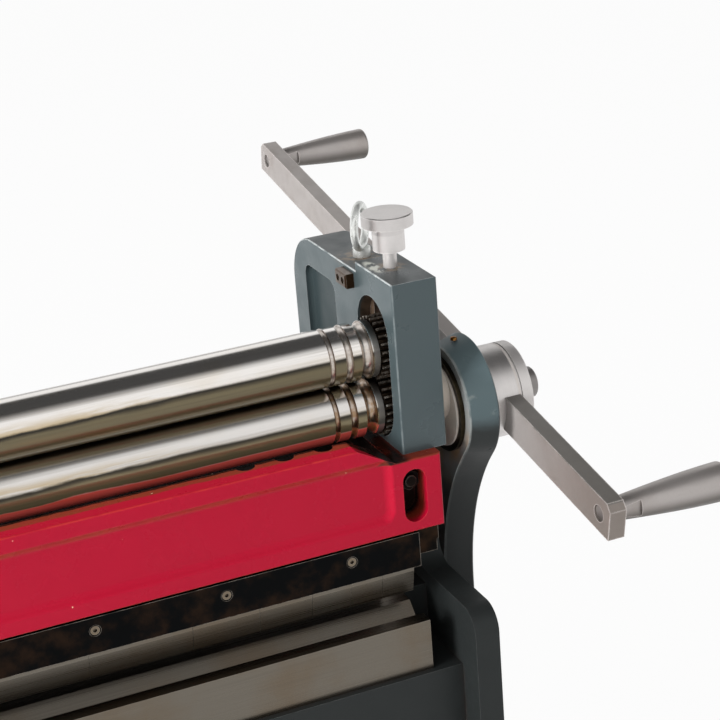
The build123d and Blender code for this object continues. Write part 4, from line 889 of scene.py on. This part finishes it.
def turned(shape, outline, steps, turn, sharp=0.6):
    """Spins an outline of (radius, height) points about Z, then turns it into place."""
    points = [shape.verts.new((radius, 0.0, height)) for radius, height in outline]
    lines = [shape.edges.new(pair) for pair in zip(points, points[1:])]
    bmesh.ops.spin(
        shape, geom=points + lines, cent=(0, 0, 0), axis=(0, 0, 1), angle=2 * math.pi, steps=steps,
        use_merge=True)
    bmesh.ops.remove_doubles(shape, verts=shape.verts, dist=1e-6)
    for face in shape.faces:
        face.smooth = True
    for edge in shape.edges:
        if len(edge.link_faces) == 2 and edge.calc_face_angle(0.0) > sharp:
            edge.smooth = False
    bmesh.ops.transform(shape, matrix=turn, verts=shape.verts)


def join(shape, other):
    """Adds one bmesh to another."""
    mesh = bpy.data.meshes.new("part")
    other.to_mesh(mesh)
    other.free()
    shape.from_mesh(mesh)
    bpy.data.meshes.remove(mesh)


def prism(radius, low, high, sides, turn, chamfer=0.0):
    """A closed prism about Z with chamfered ends, turned into place."""
    shape = bmesh.new()
    middle = Matrix.Translation((0, 0, (low + high) / 2))
    bmesh.ops.create_cone(
        shape, cap_ends=True, segments=sides, radius1=radius, radius2=radius, depth=high - low,
        matrix=middle)
    if chamfer:
        rims = [edge for edge in shape.edges if abs(edge.verts[0].co.z - edge.verts[1].co.z) < 1e-7]
        bmesh.ops.bevel(
            shape, geom=rims, offset=chamfer, segments=2, profile=0.5, affect="EDGES", material=-1)
    bmesh.ops.transform(shape, matrix=turn, verts=shape.verts)
    return shape


def facing(place, direction):
    """A matrix that lays +Z along a direction at a place."""
    return Matrix.Translation(place) @ Vector(direction).to_track_quat("Z", "Y").to_matrix().to_4x4()


# Operators

class MACHINE_OT_paints(bpy.types.Operator):
    """Paints the ram, the housings, the frames, the bed and the rods"""

    bl_idname = "machine.paints"
    bl_label = "Paint"

    def execute(self, context):
        give(ram_paint("crimson_gloss"), ["ram"])
        give(housing_paint("slate_satin"), both("roll_housing"))
        charcoal = paint("charcoal_satin", hue("charcoal"), 0.4, wear=0.4, worn=srgb(104, 106, 106))
        give(charcoal, both("side_frame") + ["bed"])
        give(rod_paint("rod_slate_and_charcoal"), both("connecting_rod"))
        return {"FINISHED"}


class MACHINE_OT_rolls(bpy.types.Operator):
    """Polishes the rolls and oils their gears"""

    bl_idname = "machine.rolls"
    bl_label = "Rolls and gears"

    def execute(self, context):
        top = roll_steel("polished_top_roll", "top_roll", math.radians(12.0), math.radians(-115.0))
        give(top, ["top_roll"])
        lower = roll_steel("polished_lower_roll", "lower_roll", math.radians(14.0), math.radians(-21.0),
                           math.radians(-62.0), rusty=0.8, filmed=1.4, gleam=0.84)
        give(lower, ["lower_roll"])
        give(roll_steel("polished_rear_roll", "rear_roll"), ["rear_roll"])
        for gear in ("drive_gear", "top_gear"):
            give(gear_steel(f"oily_{gear}", f"{gear}_right"), both(gear))
        return {"FINISHED"}


class MACHINE_OT_bright_work(bpy.types.Operator):
    """Finishes the knobs, hubs, eccentrics, cranks and plated bolts"""

    bl_idname = "machine.bright_work"
    bl_label = "Bright work"

    def execute(self, context):
        satin = hue("satin")
        give(knob_steel("turned_top_knob"), both("top_knob"))
        for node, keep in (("rear_knob", AROUND_Z), ("anchor_pin", AROUND_X)):
            give(turned_steel(f"turned_{node}", satin, middle_of(f"{node}_right"), keep), both(node))
        give(hub_steel("turned_crank_hub"), both("crank_hub"))
        give(bar_steel("crank_steel"), both("crank_bar"))
        for end in ("front", "rear"):
            handle = f"crank_handle_{end}"
            give(handle_steel(f"{end}_handle_steel", f"{handle}_right"), both(handle))
        # The eccentrics' pale colour is partly painted light, to lift them out of the housing's shade.
        give(blasted_steel("eccentric_steel", srgb(232, 222, 210), 0.5, 0.1), both("eccentric"))
        give(plated_steel("zinc_plate", hue("zinc")),
             both("eye_bolt") + ["tie_nuts", "bed_bolts", "housing_bolts"])
        give(ground_steel("gauge_rod_steel", satin, ALONG_Y, 0.22, 0.2), ["gauge_rods"])
        give(bronze_metal("rod_bush_bronze", hue("bronze")), both("rod_bush"))
        return {"FINISHED"}


class MACHINE_OT_tools(bpy.types.Operator):
    """Finishes the punch, the die, the blades, the gauge and the oily pieces round them"""

    bl_idname = "machine.tools"
    bl_label = "Tools"

    def execute(self, context):
        ground = hue("ground")
        give(ground_steel("ground_tool_steel", ground, ALONG_X),
             ["punch_segments", "v_die", "upper_blade", "lower_blade", "hold_down_bar", "gauge_bar",
              "hold_down_pins"])
        give(oxide_steel("oiled_steel", hue("oiled"), 0.4, 0.5),
             both("guide_gib", "top_block", "rear_block") + ["tie_rod"])
        give(oxide_steel("brown_backing", srgb(16, 14, 12), 0.5, 0.3), ["punch_backing"])
        give(oxide_steel("black_oxide", hue("black")),
             ["punch_clamp_bar", "upper_blade_screws", "lower_blade_screws"])
        stop = oxide_steel("brown_stop_steel", srgb(64, 46, 31), 0.4, 0.4, srgb(122, 112, 104))
        give(stop, both("stop_block"))
        give(oxide_steel("worn_screw_steel", srgb(120, 108, 92), 0.34, 0.5), ["clamp_screws"])
        return {"FINISHED"}


PLUG_DOME = ((0.0, 1.0), (0.45, 0.92), (0.8, 0.6), (0.95, 0.2), (1.0, -1.0), (0.0, -1.0))


class MACHINE_OT_oil_plugs(bpy.types.Operator):
    """Adds a brass oil plug on the top of each rod"""

    bl_idname = "machine.oil_plugs"
    bl_label = "Oil plugs"

    def execute(self, context):
        brass = bronze_metal("oil_plug_brass", hue("brass"), 0.3)
        outline = [(out * sizes().plug_radius, up * sizes().plug_rise) for out, up in PLUG_DOME]
        for side in SIDES:
            rod = f"connecting_rod_{side}"
            top = Vector((middle_of(rod).x, middle_of(f"rod_bush_{side}").y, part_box(rod)[1].z))
            shape = bmesh.new()
            turned(shape, outline, 24, Matrix.Translation(top))
            piece(f"oil_plug_{side}", shape, f"rod_{side}", brass)
        return {"FINISHED"}


def socket_screw(radius, length_below, socket_radius, socket_depth):
    """A round screw with its face at the origin, and a hexagon socket in that face."""
    shape = bmesh.new()
    outer = bmesh.ops.create_circle(shape, segments=24, radius=radius)["verts"]
    inner = bmesh.ops.create_circle(shape, segments=6, radius=socket_radius)["verts"]
    rims = []
    for ring, drop in ((outer, length_below), (inner, socket_depth)):
        rim = [edge for edge in shape.edges if edge.verts[0] in ring]
        rims += rim
        wall = bmesh.ops.extrude_edge_only(shape, edges=rim)["geom"]
        foot = [item for item in wall if isinstance(item, bmesh.types.BMVert)]
        bmesh.ops.translate(shape, verts=foot, vec=(0, 0, -drop))
        ends = [item for item in wall if isinstance(item, bmesh.types.BMEdge)]
        floor = [edge for edge in ends if all(vert in foot for vert in edge.verts)]
        bmesh.ops.contextual_create(shape, geom=floor)
    bmesh.ops.bridge_loops(shape, edges=rims)
    return shape


class MACHINE_OT_window_nuts(bpy.types.Operator):
    """Adds a stud with its nut and washer in each of the ram's windows"""

    bl_idname = "machine.window_nuts"
    bl_label = "Window nuts"

    def execute(self, context):
        # The nuts' bright worn edges also stand for a painted glint in the dark windows.
        oxide = oxide_steel("black_nut", hue("black"), 0.5, 0.1)
        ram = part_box("ram")[0]
        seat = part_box("roll_housing_right")[0]
        washer, nut = sizes().washer_height, sizes().washer_height + sizes().nut_height
        edge = sizes().wear
        for side, sign in SIDES.items():
            across = sign * (seat.x + sizes().window_reach)
            place = (across, ram.y + sizes().window_depth, seat.z - sizes().nut_drop)
            turn = facing(place, (0, -1, 0))
            shape = prism(sizes().nut_radius, 0.0, washer, 32, turn, edge / 3)
            join(shape, prism(sizes().nut_radius, washer, nut, 6, turn, edge))
            join(shape, prism(sizes().stud_radius, nut, nut + sizes().stud_proud, 24, turn, edge))
            piece(f"window_nut_{side}", shape, "ram", oxide)
        return {"FINISHED"}


class MACHINE_OT_set_screws(bpy.types.Operator):
    """Adds two set screws with hexagon sockets in each stop block"""

    bl_idname = "machine.set_screws"
    bl_label = "Set screws"

    def execute(self, context):
        steel = oxide_steel("set_screw_steel", srgb(170, 150, 120), 0.34, 0.4)
        sunk = sizes().set_hole - sizes().set_length
        for side, sign in SIDES.items():
            low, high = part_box(f"stop_block_{side}")
            face = min(abs(low.x), abs(high.x)) + sunk
            shape = bmesh.new()
            for along in (low.y + sizes().set_inset, high.y - sizes().set_inset):
                screw = socket_screw(
                    sizes().set_screw, sizes().set_length, sizes().socket_radius, sizes().socket_depth)
                turn = facing((sign * face, along, (low.z + high.z) / 2), (-sign, 0, 0))
                bmesh.ops.transform(screw, matrix=turn, verts=screw.verts)
                join(shape, screw)
            piece(f"set_screws_{side}", shape, "ram", steel)
        return {"FINISHED"}


class MACHINE_OT_thumb_screws(bpy.types.Operator):
    """Adds a knurled thumb screw under each boss of the back gauge"""

    bl_idname = "machine.thumb_screws"
    bl_label = "Thumb screws"

    def execute(self, context):
        oxide = oxide_steel("thumb_screw_black", scaled(hue("black"), 2.0), 0.4, 0.2)
        low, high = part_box("gauge_bar")
        neck, head = sizes().thumb_neck, sizes().thumb_neck + sizes().thumb_length
        teeth = sizes().knurl_teeth
        for side, sign in SIDES.items():
            place = (sign * sizes().thumb_reach, (low.y + high.y) / 2, low.z)
            knurl = prism(sizes().thumb_radius, neck, head, 2 * teeth, Matrix.Identity(4), sizes().wear)
            for vert in knurl.verts:
                step = round(math.atan2(vert.co.y, vert.co.x) * teeth / math.pi)
                if step % 2 and vert.co.xy.length > sizes().thumb_radius / 2:
                    vert.co.xy *= 1.0 - sizes().knurl_depth
            turn = facing(place, (0, 0, -1))
            bmesh.ops.transform(knurl, matrix=turn, verts=knurl.verts)
            join(knurl, prism(sizes().neck_radius, 0.0, neck, 24, turn))
            piece(f"thumb_screw_{side}", knurl, "back_gauge", oxide)
        return {"FINISHED"}


# Stage

def make_floor():
    """A wide pale floor that looks near white and keeps the shadow."""
    settings = stage_sizes()
    shape = bmesh.new()
    bmesh.ops.create_grid(shape, x_segments=1, y_segments=1, size=settings.floor_half)
    mesh = bpy.data.meshes.new("floor")
    shape.to_mesh(mesh)
    shape.free()
    floor = bpy.data.objects.new("floor", mesh)
    bpy.context.scene.collection.objects.link(floor)
    board = Board("pale_floor")
    board.finish(Base_Color=tuple(settings.floor_colour), Roughness=0.9)
    glow = board.add("ShaderNodeEmission", {"Color": (1.0, 1.0, 1.0), "Strength": 1.0})
    seen = board.product(board.seen(), settings.floor_glow)
    blend = board.add("ShaderNodeMixShader", {0: seen, 1: board.shader.outputs[0], 2: glow.outputs[0]})
    board.links.new(blend.outputs[0], board.nodes["Material Output"].inputs["Surface"])
    mesh.materials.append(board.material)


def make_room():
    """White all round for the camera, a dark strip of ceiling over grey and white walls in bright metal,
    and even soft light for the rest."""
    settings = stage_sizes()
    world = bpy.data.worlds.new("room")
    bpy.context.scene.world = world
    world.use_nodes = True
    room = Wiring(world.node_tree)
    plain = room.nodes["Background"]
    room.put(plain.inputs["Color"], tuple(settings.room_colour))
    room.put(plain.inputs["Strength"], settings.room_light)
    way = room.parts(room.add("ShaderNodeTexCoord").outputs["Generated"])
    rise = room.math("ARCTAN2", way["Z"], room.math("MULTIPLY", way["Y"], -1.0))
    strip = room.add("ShaderNodeValToRGB", {"Fac": room.math("DIVIDE", rise, math.pi)})
    white, dark, dim = [(tone, tone, tone) for tone in (1.0, settings.ceiling, settings.back_wall)]
    edges = ((settings.strip_front, white), (settings.strip_front + settings.front_soft, dark),
             (settings.strip_back - settings.back_soft, dark), (settings.strip_back, white),
             (settings.wall_foot - settings.back_soft, white), (settings.wall_foot, dim))
    stops = strip.color_ramp.elements
    for height, tone in edges:
        stops.new(height / math.pi).color = (*tone, 1.0)
    stops[0].color = (*white, 1.0)
    stops[-1].color = (*dim, 1.0)
    straight = room.add("ShaderNodeLightPath").outputs["Is Camera Ray"]
    walls = room.add("ShaderNodeBackground", {"Color": room.mix(straight, strip.outputs["Color"], white)})
    blend = room.add("ShaderNodeMixShader", {0: room.seen(), 1: plain.outputs[0], 2: walls.outputs[0]})
    room.links.new(blend.outputs[0], room.nodes["World Output"].inputs["Surface"])


def lamp(name, place, target, size, watts):
    """A soft rectangular lamp that is seen neither straight nor in bright metal."""
    light = bpy.data.lights.new(name, "AREA")
    light.shape = "RECTANGLE"
    light.size, light.size_y = size
    light.energy = watts
    made = bpy.data.objects.new(name, light)
    turn = (target - place).to_track_quat("-Z", "Y").to_matrix().to_4x4()
    made.matrix_world = Matrix.Translation(place) @ turn
    made.visible_camera = False
    made.visible_glossy = False
    bpy.context.scene.collection.objects.link(made)


def make_camera():
    """The camera, which looks at the machine's right-hand end from the front."""
    settings = stage_sizes()
    turn, tilt, roll = settings.camera_turn, settings.camera_tilt, settings.camera_roll
    ahead = Vector((math.sin(turn) * math.cos(tilt), math.cos(turn) * math.cos(tilt), -math.sin(tilt)))
    right = Vector((math.cos(turn), -math.sin(turn), 0.0))
    up = right.cross(ahead)
    rolled_right = right * math.cos(roll) + up * math.sin(roll)
    rolled_up = up * math.cos(roll) - right * math.sin(roll)
    data = bpy.data.cameras.new("camera")
    data.sensor_width = 36.0
    data.lens = settings.camera_lens
    data.clip_start = 0.01
    made = bpy.data.objects.new("camera", data)
    columns = Matrix((rolled_right, rolled_up, -ahead)).transposed().to_4x4()
    made.matrix_world = Matrix.Translation(Vector(settings.camera_place)) @ columns
    bpy.context.scene.collection.objects.link(made)
    bpy.context.scene.camera = made


class MACHINE_OT_stage(bpy.types.Operator):
    """Makes the floor, the lamps, the room light and the camera"""

    bl_idname = "machine.stage"
    bl_label = "Stage"

    def execute(self, context):
        settings = stage_sizes()
        make_floor()
        make_room()
        for name in ("front", "side", "fill"):
            place, size, watts = [
                getattr(settings, f"{name}_{part}") for part in ("place", "size", "power")]
            lamp(f"{name}_lamp", Vector(place), Vector(settings.lamps_aim), size, watts)
        make_camera()
        context.scene.view_settings.view_transform = "Standard"
        return {"FINISHED"}


# Panel and registration

OPERATORS = (
    MACHINE_OT_paints, MACHINE_OT_rolls, MACHINE_OT_bright_work, MACHINE_OT_tools, MACHINE_OT_oil_plugs,
    MACHINE_OT_window_nuts, MACHINE_OT_set_screws, MACHINE_OT_thumb_screws, MACHINE_OT_stage,
)


class MACHINE_PT_dress(bpy.types.Panel):
    """Lists the machine's operators"""

    bl_idname = "MACHINE_PT_dress"
    bl_label = "Sheet Metal Machine"
    bl_space_type = "VIEW_3D"
    bl_region_type = "UI"
    bl_category = "Machine"

    def draw(self, context):
        for operator in OPERATORS:
            self.layout.operator(operator.bl_idname)


CLASSES = (MachineColours, DetailSizes, StageSizes, *OPERATORS, MACHINE_PT_dress)


def register():
    """Adds the classes to Blender, and the settings to its scenes."""
    for entry in CLASSES:
        bpy.utils.register_class(entry)
    bpy.types.Scene.machine_colours = PointerProperty(type=MachineColours)
    bpy.types.Scene.machine_sizes = PointerProperty(type=DetailSizes)
    bpy.types.Scene.machine_stage = PointerProperty(type=StageSizes)


def unregister():
    """Takes the settings and the classes away again."""
    del bpy.types.Scene.machine_stage
    del bpy.types.Scene.machine_sizes
    del bpy.types.Scene.machine_colours
    for entry in reversed(CLASSES):
        bpy.utils.unregister_class(entry)


def main():
    """Dresses the machine."""
    register()
    for operator in OPERATORS:
        group, name = operator.bl_idname.split(".")
        getattr(getattr(bpy.ops, group), name)()


if __name__ == "__main__":
    main()
